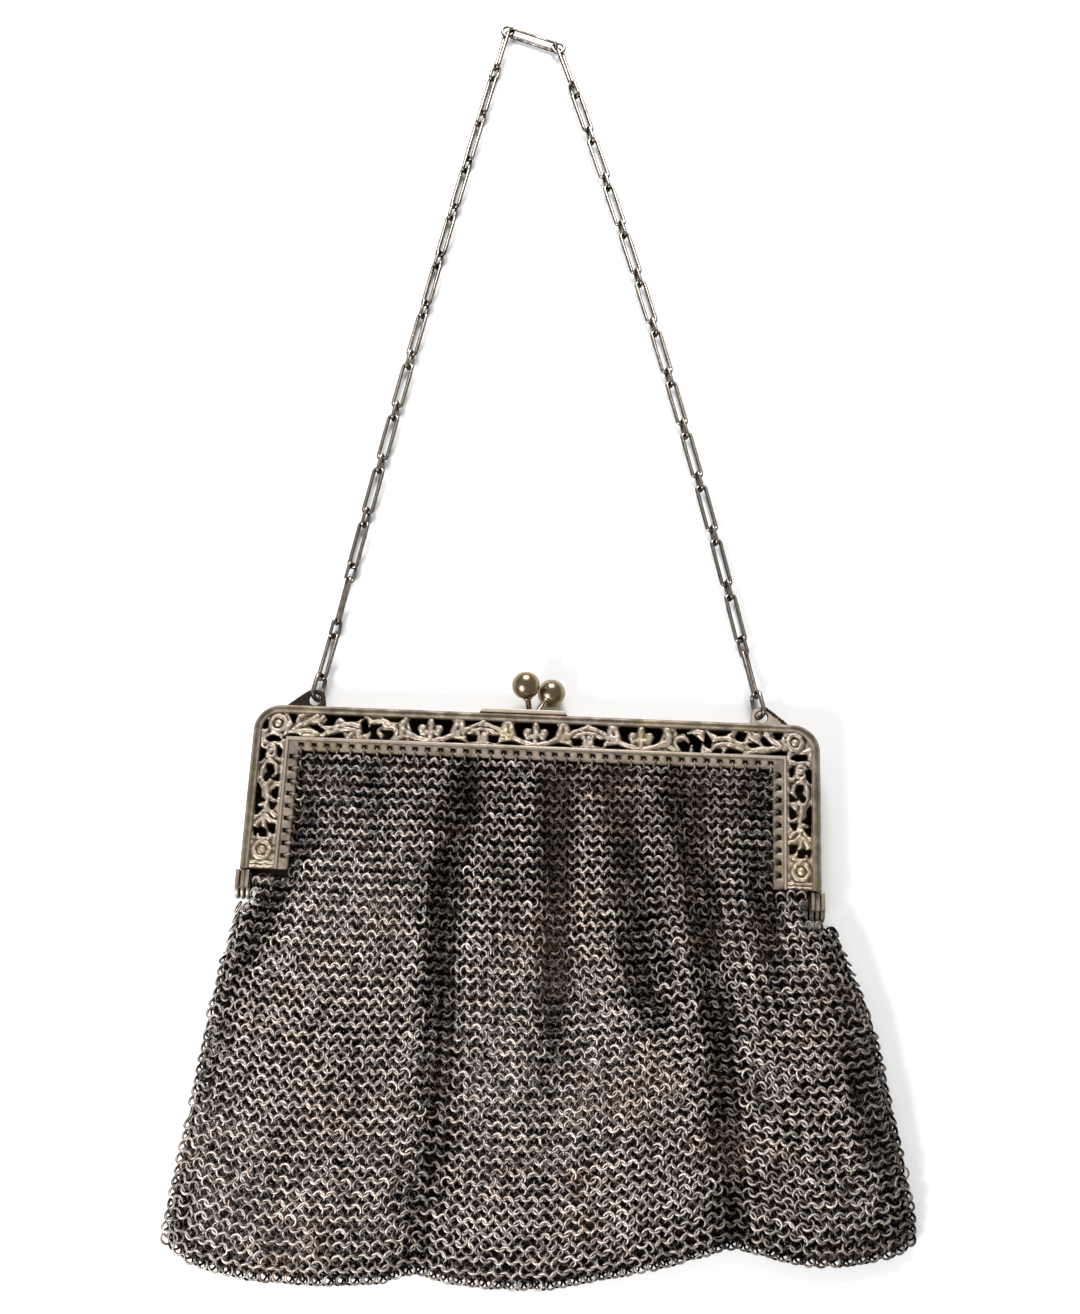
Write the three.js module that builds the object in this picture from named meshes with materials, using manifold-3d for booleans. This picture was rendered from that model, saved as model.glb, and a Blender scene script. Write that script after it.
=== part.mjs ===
// Mesh purse with a pierced U-shaped frame, a kiss-lock clasp and a long-link wrist chain,
// lying on its back. Millimetres, +Z up, +Y towards the chain.
// The origin is the middle of the top bar, on the flat back face that the purse rests on.
import * as THREE from 'three';
import { mergeVertices } from 'three/addons/utils/BufferGeometryUtils.js';
import Module from 'manifold-3d';

// Driving dimensions of the frame.
const FRAME_HALF_WIDTH = 76.2;
const BAND = 12.8;
const LEG_LENGTH = 45.4;
const CORNER_RADIUS = 7.5;
const CLOSED_THICKNESS = 11;
const HALF_GAP = 0.3;
const SKIRT_WALL = 1;
const PLATE = 0.9;
const RIM_WIDTH = 2.4;
const RIDGE_FROM = 9;
const RIDGE_TO = 10;
const RELIEF_HEIGHT = 0.7;
const HOLE_SIZE = 1.1;
const HOLE_FROM_EDGE = 11.1;
const HOLE_PITCH = 3.4;
const TOP_HOLES = 38;
const LEG_HOLES = 9;

// Driving dimensions of the other pieces.
const PIECE_GAP = 0.3;
const FRONT_GRID = { columns: 26, rows: 8 };
const BACK_GRID = { columns: 10, rows: 4 };
const SHEET = 2;
const MOUTH_Y = -6.7;
const BALL_RADIUS = 3.8;
const ARM_RADIUS = 0.8;
const KNUCKLE_RADIUS = 2.3;
const KNUCKLE_LENGTH = 4.2;
const LINK_WIRE = 1.15;
const RING_WIRE = 1;
const LINK_LENGTH = 13;
const LINK_WIDTH = 2.7;
const RING_LENGTH = 5.4;
const RING_WIDTH = 2.5;
const END_RING_WIRE = 1.25;
const END_RING_LENGTH = 7.1;
const END_RING_WIDTH = 4.3;
const END_RING_TURN = 24;
const END_RING_SEAT = 0.75;
const LINK_CONTACT = 0.96;
const LINKS_PER_SIDE = 13;
const CHAIN_HEIGHT = 2;
const LUG_HEIGHT = 4;
const LUG_THICKNESS = 1.2;

const TOP_Y = BAND / 2;
const LEG_Y = TOP_Y - LEG_LENGTH;
const INNER_X = FRAME_HALF_WIDTH - BAND;
const HINGE_X = FRAME_HALF_WIDTH - 0.9;
const HINGE_DROP = 5;
const PLATE_TOP = CLOSED_THICKNESS - RELIEF_HEIGHT;
const HALF_DEPTH = (CLOSED_THICKNESS - HALF_GAP) / 2;

// The gaps of the pierced ornament. The band repeats every REPEAT, mirrored about each
// flower; x is counted from the flower's stem.
const REPEAT = 28.3;
const FLOWER_X = -0.2;
const FLOWER_GAPS = [
  { name: 'beside_berry', points: [[1, 4], [5.2, 4], [5.7, 2.9], [4.8, 0.4], [3.1, -0.7], [3.8, 1.2],
    [3, 2.6], [1.3, 2.6]] },
  { name: 'under_leaf', points: [[4.3, -2.4], [6.1, -1.5], [8.2, -1.8], [9.5, -2.5]] },
];
const ARCH_GAPS = [
  { name: 'under_arch', points: [[9.9, -0.2], [12.4, -0.3], [12.1, -1.7], [10.5, -2]] },
  { name: 'over_arch', points: [[9.4, 4], [13, 4], [11.3, 3.1], [9.8, 2.6]] },
];
const LEFT_END_GAPS = [
  { name: 'corner_oval', points: [[-72.2, -3.3], [-70.9, -2.5], [-69.3, -2.8], [-68.6, -3.7],
    [-71.5, -4]] },
  { name: 'corner_slot', points: [[-73.4, 2], [-72.6, 1.8], [-72.6, -0.3], [-73.4, -0.4]] },
  { name: 'leaf_notch', points: [[-66.6, 3.8], [-64.7, 3.6], [-65.4, 1.3]] },
  { name: 'lower_slot', points: [[-67.8, -2.9], [-66.4, -2.1], [-64.8, -1.9], [-62.9, -2.8]] },
  { name: 'cross_slot', points: [[-60.9, 0.7], [-59.2, 0.9], [-57, -0.7], [-57.9, -1.2]] },
  { name: 'upper_gap', points: [[-57, 3.9], [-53.4, 3.8], [-54.4, 2.7], [-55, 1.2], [-57.2, 1],
    [-56, 2.4]] },
  { name: 'crescent', points: [[-52.8, 3.9], [-46.8, 3.9], [-48.6, 2.7], [-51.3, 2.5]] },
  { name: 'long_slot', points: [[-56.8, -2.5], [-54, -1.6], [-52.2, -1.1], [-51.7, -2.3]] },
  { name: 'lens', points: [[-47.1, 1.9], [-46.1, 3.2], [-45.1, -0.2], [-46.4, -0.8]] },
  { name: 'scroll_outer', points: [[-44.5, 1.5], [-41.7, 1.6], [-43.2, 0.4], [-43.2, -1], [-41.6, -2.7],
    [-44.6, -2.6], [-44.1, -1]] },
  { name: 'scroll_inner', points: [[-41.6, 0], [-39, 0.1], [-38.6, -0.8], [-39.8, -2.6], [-41, -2.4],
    [-40.4, -1.1]] },
  { name: 'scroll_top', points: [[-41, 3.9], [-36.1, 3.9], [-37.6, 2.8], [-39.2, 3]] },
];
const RIGHT_END_GAPS = [
  { name: 'corner_oval', points: [[68.5, -3.1], [69.7, -2.2], [72.5, -2.2], [72.5, -3.3], [70, -3.7]] },
  { name: 'lower_slot', points: [[62.4, -2.3], [65.5, -1.2], [67.1, -1.5], [66.8, -2.4]] },
  { name: 'leaf_notch', points: [[63.8, 3.9], [66.1, 3.9], [65.4, 2.2], [64.4, 2.2]] },
  { name: 'mid_notch', points: [[60.4, 1.3], [61.6, 0.2], [63.1, 0.3], [61, 2.5]] },
  { name: 'cross_slot', points: [[56.9, 0.2], [58.3, 0.8], [59.7, 0.1], [57.8, -0.4]] },
  { name: 'upper_gap', points: [[53.6, 2.4], [54.4, 3.8], [56.3, 3.4], [55.4, 1.2], [54, 1.4]] },
  { name: 'crescent', points: [[46.3, 4], [52.3, 4], [50.9, 3], [49, 2.5]] },
  { name: 'long_slot', points: [[50.7, -2.3], [52, -1], [55.3, -2]] },
  { name: 'short_slot', points: [[47.4, -2.3], [48.4, -1.4], [49.7, -1.5], [49.4, -2.4]] },
  { name: 'lens', points: [[45.6, 3], [46.9, 0.9], [46.6, -1], [45.2, -0.2]] },
  { name: 'scroll_outer', points: [[40.4, 2.2], [41.8, 2.5], [44.3, 0.7], [43.7, -2.4], [42.5, -2.5],
    [42.3, -0.6]] },
  { name: 'scroll_inner', points: [[38, -0.4], [39.8, 0.5], [41.2, -0.6], [40.6, -2.4], [39.2, -2.1]] },
  { name: 'scroll_top', points: [[37.8, 3.9], [41.2, 4], [40, 3], [38.2, 2.7]] },
];
// The legs' gaps: depth is counted inwards from the leg's outer edge, the second value is y.
const LEG_GAPS = [
  { name: 'flower_side', points: [[2.6, -6.2], [3.9, -6.6], [3.6, -8.5], [2.6, -9.7]] },
  { name: 'flower_inner', points: [[7.2, -5.5], [8.1, -6.4], [7.8, -8.2], [7.2, -7.2]] },
  { name: 'leaf_eye', points: [[4.7, -10.7], [6.1, -10.7], [6.6, -12.6], [4.7, -15.2], [4.2, -14.1],
    [5.2, -12.8]] },
  { name: 'leaf_tip', points: [[6.3, -14.6], [8, -13.2], [8, -14.9]] },
  { name: 'stem_outer', points: [[2.6, -16], [3.5, -17.4], [3.6, -19.5], [4.9, -20.6], [2.7, -21.4]] },
  { name: 'stem_inner', points: [[6.8, -17.8], [8.1, -16.7], [8, -20.1], [6.6, -18.9]] },
  { name: 'cross_outer', points: [[2.7, -22.1], [4.5, -22.7], [3, -24.4]] },
  { name: 'cross_inner', points: [[6.4, -21], [8.1, -21.2], [7, -23]] },
  { name: 'fan_outer', points: [[2.7, -28], [3.9, -28.4], [3.2, -30.1]] },
  { name: 'fan_middle', points: [[4.4, -27.8], [5.8, -28.4], [6.1, -30.2], [4.6, -30.1]] },
  { name: 'fan_inner', points: [[6.4, -27], [8.2, -27], [8.1, -29.3], [7, -28.8]] },
];
// Raised lumps of the cast relief: half sizes along x and y, turned by turn degrees.
const FLOWER_LUMPS = [
  { name: 'berry', x: 2.4, y: 1.1, halfX: 1, halfY: 1, turn: 0 },
  { name: 'leaf', x: 7.4, y: 2, halfX: 1, halfY: 2.2, turn: 8 },
];
const PLAIN_LUMPS = [
  { name: 'left_arch', x: -14.4, y: 1.9, halfX: 2.4, halfY: 1.4, turn: 0 },
  { name: 'right_arch', x: 14, y: 1.9, halfX: 2.4, halfY: 1.4, turn: 0 },
  { name: 'left_palmette', x: -50, y: 0.6, halfX: 3, halfY: 1.2, turn: 0 },
  { name: 'right_palmette', x: 50, y: 0.6, halfX: 3, halfY: 1.2, turn: 0 },
  { name: 'left_corner_rose', x: -69.6, y: 0.8, halfX: 2.2, halfY: 2.2, turn: 0 },
  { name: 'right_corner_rose', x: 69.4, y: 0.9, halfX: 2.2, halfY: 2.2, turn: 0 },
  { name: 'left_leg_rose', x: -70.8, y: -34, halfX: 2.8, halfY: 2.4, turn: 0 },
  { name: 'right_leg_rose', x: 70.4, y: -33.4, halfX: 2.8, halfY: 2.4, turn: 0 },
];

// The pouch's outline: the side seams from the mouth down, and the hem from left to right.
const SIDE_ROWS = [
  { down: 0, left: -76.2, right: 76.2 },
  { down: 0.3, left: -76.4, right: 78.4 },
  { down: 0.42, left: -79, right: 84 },
  { down: 0.55, left: -81.5, right: 90 },
  { down: 0.75, left: -84, right: 95 },
  { down: 0.95, left: -87.2, right: 99.4 },
  { down: 1, left: -87.6, right: 99.6 },
];
const HEM_ROWS = [
  { x: -87.6, y: -131 },
  { x: -81.2, y: -136.7 },
  { x: -73.6, y: -138.7 },
  { x: -64.7, y: -140.2 },
  { x: -46, y: -140.7 },
  { x: -31.4, y: -139.5 },
  { x: -24.7, y: -136.4 },
  { x: -16.6, y: -138.9 },
  { x: -3, y: -139.7 },
  { x: 8.1, y: -139.4 },
  { x: 21.5, y: -136.6 },
  { x: 38.7, y: -132.6 },
  { x: 54.7, y: -127.2 },
  { x: 63.4, y: -129.7 },
  { x: 75, y: -131.4 },
  { x: 85.7, y: -130.2 },
  { x: 96, y: -127.4 },
  { x: 99.6, y: -123.2 },
];
// The height of the front sheet between the folds, from the mouth to the hem.
const CROWN_ROWS = [
  { y: -6.7, height: 10.1 },
  { y: -20, height: 11.2 },
  { y: -45, height: 12.2 },
  { y: -75, height: 11.6 },
  { y: -100, height: 10.4 },
  { y: -125, height: 8.8 },
  { y: -141, height: 8 },
];
const SEAM_HEIGHT = 3.7;
const SEAM_LIFT = 0.9;
const SEAM_OVERLAP = 1.4;
const SEAM_WIDTH = 5;
const SIDE_ROLL = 11;
const HEM_ROLL = 15;
// The front folds: where each runs, how deep it is (a ridge is negative) and how wide.
const FRONT_FOLDS = [
  { name: 'left_diagonal', halfWidth: 4, path: [
    { y: -12, x: -59.3, depth: 0.6 }, { y: -30, x: -60, depth: 2 }, { y: -52, x: -68.5, depth: 2.8 },
    { y: -68, x: -74.8, depth: 1.8 }, { y: -102, x: -81.4, depth: 0 },
  ] },
  { name: 'left_faint', halfWidth: 4, path: [
    { y: -8, x: -42.8, depth: 0.6 }, { y: -20, x: -42, depth: 1.1 }, { y: -38, x: -40, depth: 0 },
  ] },
  { name: 'left_valley', halfWidth: 4.5, path: [
    { y: -8, x: -17.6, depth: 1 }, { y: -20, x: -19, depth: 3 }, { y: -45, x: -22.2, depth: 3.5 },
    { y: -81, x: -21.1, depth: 2.8 }, { y: -109, x: -20.1, depth: 2.4 },
    { y: -125, x: -23.4, depth: 2.2 }, { y: -136, x: -24.7, depth: 2 },
  ] },
  { name: 'middle_faint', halfWidth: 3.5, path: [
    { y: -14, x: -7, depth: 0.2 }, { y: -36, x: -6.4, depth: 1.4 }, { y: -57, x: -3.9, depth: 1 },
    { y: -75, x: -3, depth: 0 },
  ] },
  { name: 'middle_valley', halfWidth: 4, path: [
    { y: -8, x: 5.9, depth: 1 }, { y: -20, x: 6.4, depth: 2.8 }, { y: -61, x: 7.4, depth: 3.5 },
    { y: -88, x: 7.7, depth: 2 }, { y: -108, x: 4, depth: 0 },
  ] },
  { name: 'right_valley', halfWidth: 4, path: [
    { y: -8, x: 21, depth: 0.8 }, { y: -35, x: 26.1, depth: 2.6 }, { y: -66, x: 29.5, depth: 3.2 },
    { y: -73, x: 33.4, depth: 2 }, { y: -84, x: 36, depth: 0 },
  ] },
  { name: 'right_short', halfWidth: 3, path: [
    { y: -34, x: 33.5, depth: 0.3 }, { y: -56, x: 35.7, depth: 1.6 }, { y: -80, x: 35, depth: 0 },
  ] },
  { name: 'far_right_valley', halfWidth: 4, path: [
    { y: -8, x: 40.2, depth: 1.2 }, { y: -20, x: 41, depth: 3 }, { y: -52, x: 46, depth: 3.5 },
    { y: -88, x: 51.5, depth: 2.8 }, { y: -127, x: 54.7, depth: 2.2 },
  ] },
  { name: 'right_hollow', halfWidth: 3.5, path: [
    { y: -26, x: 58.5, depth: 0.3 }, { y: -43, x: 60.8, depth: 3.2 }, { y: -56, x: 63.2, depth: 1.8 },
    { y: -78, x: 66, depth: 0 },
  ] },
  { name: 'right_corner', halfWidth: 3.5, path: [
    { y: -8, x: 60.4, depth: 1 }, { y: -20, x: 62.8, depth: 1 }, { y: -32, x: 64, depth: 0 },
  ] },
  { name: 'right_edge', halfWidth: 4, path: [
    { y: -60, x: 78, depth: 0 }, { y: -80, x: 83, depth: 1.4 }, { y: -120, x: 94.6, depth: 0.8 },
  ] },
  { name: 'left_lobe', halfWidth: 17, path: [
    { y: -60, x: -45, depth: 0 }, { y: -95, x: -50, depth: -1.4 }, { y: -140, x: -54, depth: -0.8 },
  ] },
  { name: 'right_lobe', halfWidth: 13, path: [
    { y: -70, x: 30, depth: 0 }, { y: -105, x: 28, depth: -1.2 }, { y: -140, x: 24, depth: -0.6 },
  ] },
];
// The chain's strands: the top corners, how far each strand bows outwards, and how far each
// link is turned about its own length, from the lug up.
const LUG_X = 61;
const LUG_HOLE_Y = 10;
const LUG_HOLE_RADIUS = 1.7;
const STRANDS = [
  { name: 'left', side: -1, cornerX: -19.2, cornerY: 236.6, bow: 1.2,
    turns: [35, 66, 25, 12, 8, 10, 25, 30, 28, 30, 35, 40, 62] },
  { name: 'right', side: 1, cornerX: -2.8, cornerY: 230.8, bow: 3.4,
    turns: [62, 12, 15, 10, 12, 16, 12, 10, 14, 12, 10, 18, 58] },
];
const TOP_LINK_ROLL = 55;
const CORNER_RING = 3.6;
const CORNER_PULL = 0.08;

const wasm = await Module();
wasm.setup();

const SILVER = { color: 0x8d857a, roughness: 0.42, metalness: 1 };
const BRIGHT_SILVER = { color: 0xa79f8f, roughness: 0.22, metalness: 1 };
const RING_MESH = { color: 0x6f6a63, roughness: 0.38, metalness: 1 };
const DARK_SILVER = { color: 0x5d574f, roughness: 0.4, metalness: 1 };

function solid(geometry) {
  const bare = geometry.index ? geometry.toNonIndexed() : geometry.clone();
  bare.deleteAttribute('normal');
  bare.deleteAttribute('uv');
  const merged = mergeVertices(bare, 1e-4);
  const corners = merged.index.array;
  const kept = [];
  for (let first = 0; first < corners.length; first += 3) {
    const [a, b, c] = corners.slice(first, first + 3);
    if (a !== b && b !== c && c !== a) kept.push(a, b, c);
  }
  return new wasm.Manifold(new wasm.Mesh({
    numProp: 3,
    vertProperties: new Float32Array(merged.attributes.position.array),
    triVerts: new Uint32Array(kept),
  }));
}

function piece(name, manifold, finish) {
  const mesh = manifold.getMesh();
  const geometry = new THREE.BufferGeometry();
  geometry.setAttribute('position', new THREE.BufferAttribute(new Float32Array(mesh.vertProperties), 3));
  geometry.setIndex(new THREE.BufferAttribute(new Uint32Array(mesh.triVerts), 1));
  geometry.computeVertexNormals();
  const built = new THREE.Mesh(geometry, new THREE.MeshStandardMaterial(finish));
  built.name = name;
  return built;
}

function fused(parts) {
  return parts.reduce((whole, part) => whole.add(part));
}

function slab(shape, low, high, curveSegments = 5) {
  const geometry = new THREE.ExtrudeGeometry(shape, {
    depth: high - low,
    bevelEnabled: false,
    curveSegments,
  });
  return solid(geometry.translate(0, 0, low));
}

function box(low, high) {
  const size = high.map((value, axis) => value - low[axis]);
  const centre = high.map((value, axis) => (value + low[axis]) / 2);
  return solid(new THREE.BoxGeometry(...size).translate(...centre));
}

function rod(points, radius, sides, steps) {
  const section = new THREE.Shape();
  for (let side = 0; side <= sides; side += 1) {
    const angle = (side / sides) * 2 * Math.PI;
    section[side ? 'lineTo' : 'moveTo'](radius * Math.cos(angle), radius * Math.sin(angle));
  }
  const path = new THREE.CatmullRomCurve3(points.map((point) => new THREE.Vector3(...point)));
  return solid(new THREE.ExtrudeGeometry(section, { steps, bevelEnabled: false, extrudePath: path }));
}

function ball(centre) {
  return solid(new THREE.SphereGeometry(BALL_RADIUS, 12, 8).translate(...centre));
}

function lookUp(rows, key, value, at) {
  if (Math.sign(rows[1][key] - rows[0][key]) * (at - rows[0][key]) <= 0) return rows[0][value];
  for (let row = 1; row < rows.length; row += 1) {
    const from = rows[row - 1];
    const to = rows[row];
    const part = (at - from[key]) / (to[key] - from[key]);
    if (part <= 1) return from[value] + part * (to[value] - from[value]);
  }
  return rows.at(-1)[value];
}

// The frame's outline, drawn inset from its outer edge on every side but the legs' ends.
function frameEdge(inset, legY) {
  const side = FRAME_HALF_WIDTH - inset;
  const top = TOP_Y - inset;
  const radius = Math.max(CORNER_RADIUS - inset, 0.6);
  const edge = new THREE.Path();
  edge.moveTo(-side, legY);
  edge.lineTo(-side, top - radius);
  edge.absarc(-side + radius, top - radius, radius, Math.PI, Math.PI / 2, true);
  edge.lineTo(side - radius, top);
  edge.absarc(side - radius, top - radius, radius, Math.PI / 2, 0, true);
  edge.lineTo(side, legY);
  return edge;
}

function uBand(outerInset, innerInset, legY = LEG_Y, squareInside = false) {
  const outer = frameEdge(outerInset, legY).getPoints(4);
  const side = FRAME_HALF_WIDTH - innerInset;
  const top = TOP_Y - innerInset;
  const square = [[-side, legY], [-side, top], [side, top], [side, legY]];
  const inner = squareInside
    ? square.map(([x, y]) => new THREE.Vector2(x, y))
    : frameEdge(innerInset, legY).getPoints(4);
  return new THREE.Shape([...outer, ...inner.reverse()]);
}

function ornamentGaps() {
  const gaps = [];
  for (let flower = -1; flower <= 1; flower += 1) {
    for (const mirror of [-1, 1]) {
      const outside = flower === mirror;
      for (const gap of outside ? FLOWER_GAPS.slice(0, 1) : [...FLOWER_GAPS, ...ARCH_GAPS]) {
        gaps.push(gap.points.map(([x, y]) => [FLOWER_X + flower * REPEAT + mirror * x, y]));
      }
    }
  }
  for (const gap of [...LEFT_END_GAPS, ...RIGHT_END_GAPS]) gaps.push(gap.points);
  for (const side of [-1, 1]) {
    for (const gap of LEG_GAPS) {
      gaps.push(gap.points.map(([depth, y]) => [side * (FRAME_HALF_WIDTH - depth), y]));
    }
  }
  return gaps;
}

function meshHoles() {
  const centres = [];
  const row = FRAME_HALF_WIDTH - HOLE_FROM_EDGE;
  for (let hole = 0; hole < TOP_HOLES; hole += 1) {
    centres.push([(hole - (TOP_HOLES - 1) / 2) * HOLE_PITCH, TOP_Y - HOLE_FROM_EDGE]);
  }
  for (let hole = 1; hole <= LEG_HOLES; hole += 1) {
    const y = TOP_Y - HOLE_FROM_EDGE - hole * HOLE_PITCH;
    centres.push([-row, y], [row, y]);
  }
  const half = HOLE_SIZE / 2;
  return centres.map(([x, y]) => [
    [x - half, y - half],
    [x + half, y - half],
    [x + half, y + half],
    [x - half, y + half],
  ]);
}

function lump({ x, y, halfX, halfY, turn }) {
  const height = RELIEF_HEIGHT + 0.5;
  const cone = new THREE.ConeGeometry(1.2, height, halfX > 2 ? 7 : 6);
  cone.rotateX(Math.PI / 2);
  cone.scale(halfX, halfY, 1);
  cone.rotateZ(THREE.MathUtils.degToRad(turn));
  cone.translate(x, y, CLOSED_THICKNESS - height / 2);
  return solid(cone);
}

function reliefLumps() {
  const lumps = PLAIN_LUMPS.map(lump);
  for (let flower = -1; flower <= 1; flower += 1) {
    for (const mirror of [-1, 1]) {
      for (const row of FLOWER_LUMPS) {
        const x = FLOWER_X + flower * REPEAT + mirror * row.x;
        lumps.push(lump({ ...row, x, turn: -mirror * row.turn }));
      }
    }
  }
  return fused(lumps);
}

function frameFront() {
  const sheet = slab(uBand(0.2, BAND, LEG_Y, true), PLATE_TOP - PLATE, PLATE_TOP);
  const gaps = [...ornamentGaps(), ...meshHoles()].map((points) => slab(
    new THREE.Shape(points.map(([x, y]) => new THREE.Vector2(x, y))),
    PLATE_TOP - PLATE - 1,
    PLATE_TOP + 1,
  ));
  const plate = sheet.subtract(fused(gaps));
  const skirt = slab(uBand(0, SKIRT_WALL), CLOSED_THICKNESS - HALF_DEPTH, PLATE_TOP + 0.2);
  const rim = slab(uBand(0.3, RIM_WIDTH), PLATE_TOP - 0.3, CLOSED_THICKNESS);
  const ridge = slab(uBand(RIDGE_FROM, RIDGE_TO, LEG_Y, true), PLATE_TOP - 0.3, CLOSED_THICKNESS - 0.1);
  return fused([plate, skirt, rim, ridge, reliefLumps()]);
}

// A gusset-shaped ear on the top edge, with the hole that the chain's end ring passes through.
function lugEar(side) {
  const ear = new THREE.Shape();
  ear.moveTo(side * (LUG_X - 3.2), TOP_Y - 0.6);
  ear.lineTo(side * (LUG_X - 2.6), LUG_HOLE_Y + 1.2);
  ear.lineTo(side * (LUG_X - 1), LUG_HOLE_Y + 2.7);
  ear.lineTo(side * (LUG_X + 1), LUG_HOLE_Y + 2.8);
  ear.lineTo(side * (LUG_X + 2.8), LUG_HOLE_Y + 1.9);
  ear.lineTo(side * (LUG_X + 8.6), TOP_Y + 0.7);
  ear.lineTo(side * (LUG_X + 8.6), TOP_Y - 0.6);
  const hole = new THREE.Path();
  hole.absarc(side * LUG_X, LUG_HOLE_Y, LUG_HOLE_RADIUS, 0, 2 * Math.PI);
  ear.holes = [hole];
  return slab(ear, LUG_HEIGHT - LUG_THICKNESS / 2, LUG_HEIGHT + LUG_THICKNESS / 2, 3);
}

function frameBack() {
  const plate = slab(uBand(0.2, BAND, LEG_Y, true), 0, PLATE);
  const skirt = slab(uBand(0, SKIRT_WALL), PLATE - 0.4, HALF_DEPTH);
  return fused([plate, skirt, lugEar(-1), lugEar(1)]);
}

// A hinge: a barrel along X below the leg, with a tab up to each half of the frame.
function hinge(side) {
  const centreX = side * HINGE_X;
  const halfLength = KNUCKLE_LENGTH / 2;
  const middle = CLOSED_THICKNESS / 2;
  const barrelY = LEG_Y - HINGE_DROP;
  const barrel = new THREE.CylinderGeometry(KNUCKLE_RADIUS, KNUCKLE_RADIUS, KNUCKLE_LENGTH, 10);
  barrel.rotateZ(Math.PI / 2);
  barrel.translate(centreX, barrelY, middle);
  const tabs = [[1.4, 4.9], [6.1, 9.9]].map(([low, high]) => box(
    [centreX - halfLength + 0.3, barrelY, low],
    [centreX + halfLength - 0.3, LEG_Y - PIECE_GAP, high],
  ));
  const web = box(
    [centreX - halfLength + 0.3, barrelY - 1.2, 3.4],
    [centreX + halfLength - 0.3, barrelY + 1.5, 7.6],
  );
  return fused([solid(barrel), web, ...tabs]);
}

// One half of the kiss-lock clasp: a saddle along the top edge, a bent arm and a ball.
function claspHalf({ saddleX, saddleZ, arm, ball: ballCentre }) {
  const saddle = new THREE.Shape();
  const bottom = TOP_Y + PIECE_GAP;
  saddle.moveTo(saddleX[0], bottom);
  saddle.lineTo(saddleX[1], bottom);
  saddle.lineTo(saddleX[1] - 1.2, bottom + 0.9);
  saddle.lineTo(saddleX[0] + 1.2, bottom + 0.9);
  return fused([
    slab(saddle, ...saddleZ),
    rod([...arm, ballCentre], ARM_RADIUS, 7, 4),
    ball(ballCentre),
  ]);
}

// A quarter of a wire loop's centre line, in half widths: the shoulder, and the end of the flat
// tip that the next loop bears on.
const LOOP_QUARTER = [
  { name: 'shoulder', acrossWidth: 0.97, fromTip: 0.45 },
  { name: 'tip', acrossWidth: 0.62, fromTip: 0 },
];
const WIRE_SIDES = 5;

// A wire loop in the XY plane along Y: a five-sided wire with mitred corners, one of its edges
// facing inwards, where the loops bear on each other.
function wireLoop(length, width, wire) {
  const halfWidth = width / 2;
  const quarter = LOOP_QUARTER.map(({ acrossWidth, fromTip }) => (
    new THREE.Vector2(acrossWidth * halfWidth, length / 2 - fromTip * halfWidth)
  ));
  const half = [
    new THREE.Vector2(halfWidth, 0),
    ...quarter,
    ...quarter.toReversed().map(({ x, y }) => new THREE.Vector2(-x, y)),
  ];
  const line = [...half, ...half.map(({ x, y }) => new THREE.Vector2(-x, -y))];
  const positions = [];
  line.forEach((point, at) => {
    const before = new THREE.Vector2().subVectors(point, line.at(at - 1)).normalize();
    const after = new THREE.Vector2().subVectors(line[(at + 1) % line.length], point).normalize();
    const along = before.clone().add(after).normalize();
    const mitre = wire / 2 / along.dot(after);
    for (let side = 0; side < WIRE_SIDES; side += 1) {
      const angle = Math.PI + (side / WIRE_SIDES) * 2 * Math.PI;
      const outwards = mitre * Math.cos(angle);
      positions.push(
        point.x + along.y * outwards,
        point.y - along.x * outwards,
        (wire / 2) * Math.sin(angle),
      );
    }
  });
  const index = [];
  line.forEach((point, at) => {
    const here = at * WIRE_SIDES;
    const next = ((at + 1) % line.length) * WIRE_SIDES;
    for (let side = 0; side < WIRE_SIDES; side += 1) {
      const beside = (side + 1) % WIRE_SIDES;
      index.push(here + side, next + side, next + beside, here + side, next + beside, here + beside);
    }
  });
  const loop = new THREE.BufferGeometry();
  loop.setAttribute('position', new THREE.Float32BufferAttribute(positions, 3));
  loop.setIndex(index);
  return loop;
}

// A loop laid between two points of the chain, turned about its own length by roll degrees.
function placedLoop(from, to, centreLength, width, wire, roll) {
  const loop = wireLoop(centreLength, width, wire);
  loop.rotateY(THREE.MathUtils.degToRad(roll));
  const along = new THREE.Vector3().subVectors(to, from).normalize();
  loop.applyQuaternion(new THREE.Quaternion().setFromUnitVectors(new THREE.Vector3(0, 1, 0), along));
  const middle = new THREE.Vector3().addVectors(from, to).multiplyScalar(0.5);
  return solid(loop.translate(middle.x, middle.y, middle.z));
}

// The point of a strand at a length along it: from the lug to the corner, bowed outwards,
// and falling from the lug's height to the floor within the first link.
function strandPoint(strand, start, distance, total) {
  const part = distance / total;
  const corner = new THREE.Vector3(strand.cornerX, strand.cornerY, CHAIN_HEIGHT);
  const point = new THREE.Vector3().lerpVectors(start, corner, part);
  point.x += strand.side * strand.bow * 4 * part * (1 - part);
  const fall = Math.min(distance / (LINK_LENGTH + END_RING_LENGTH), 1);
  point.z = start.z + (CHAIN_HEIGHT - start.z) * fall;
  return point;
}

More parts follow.
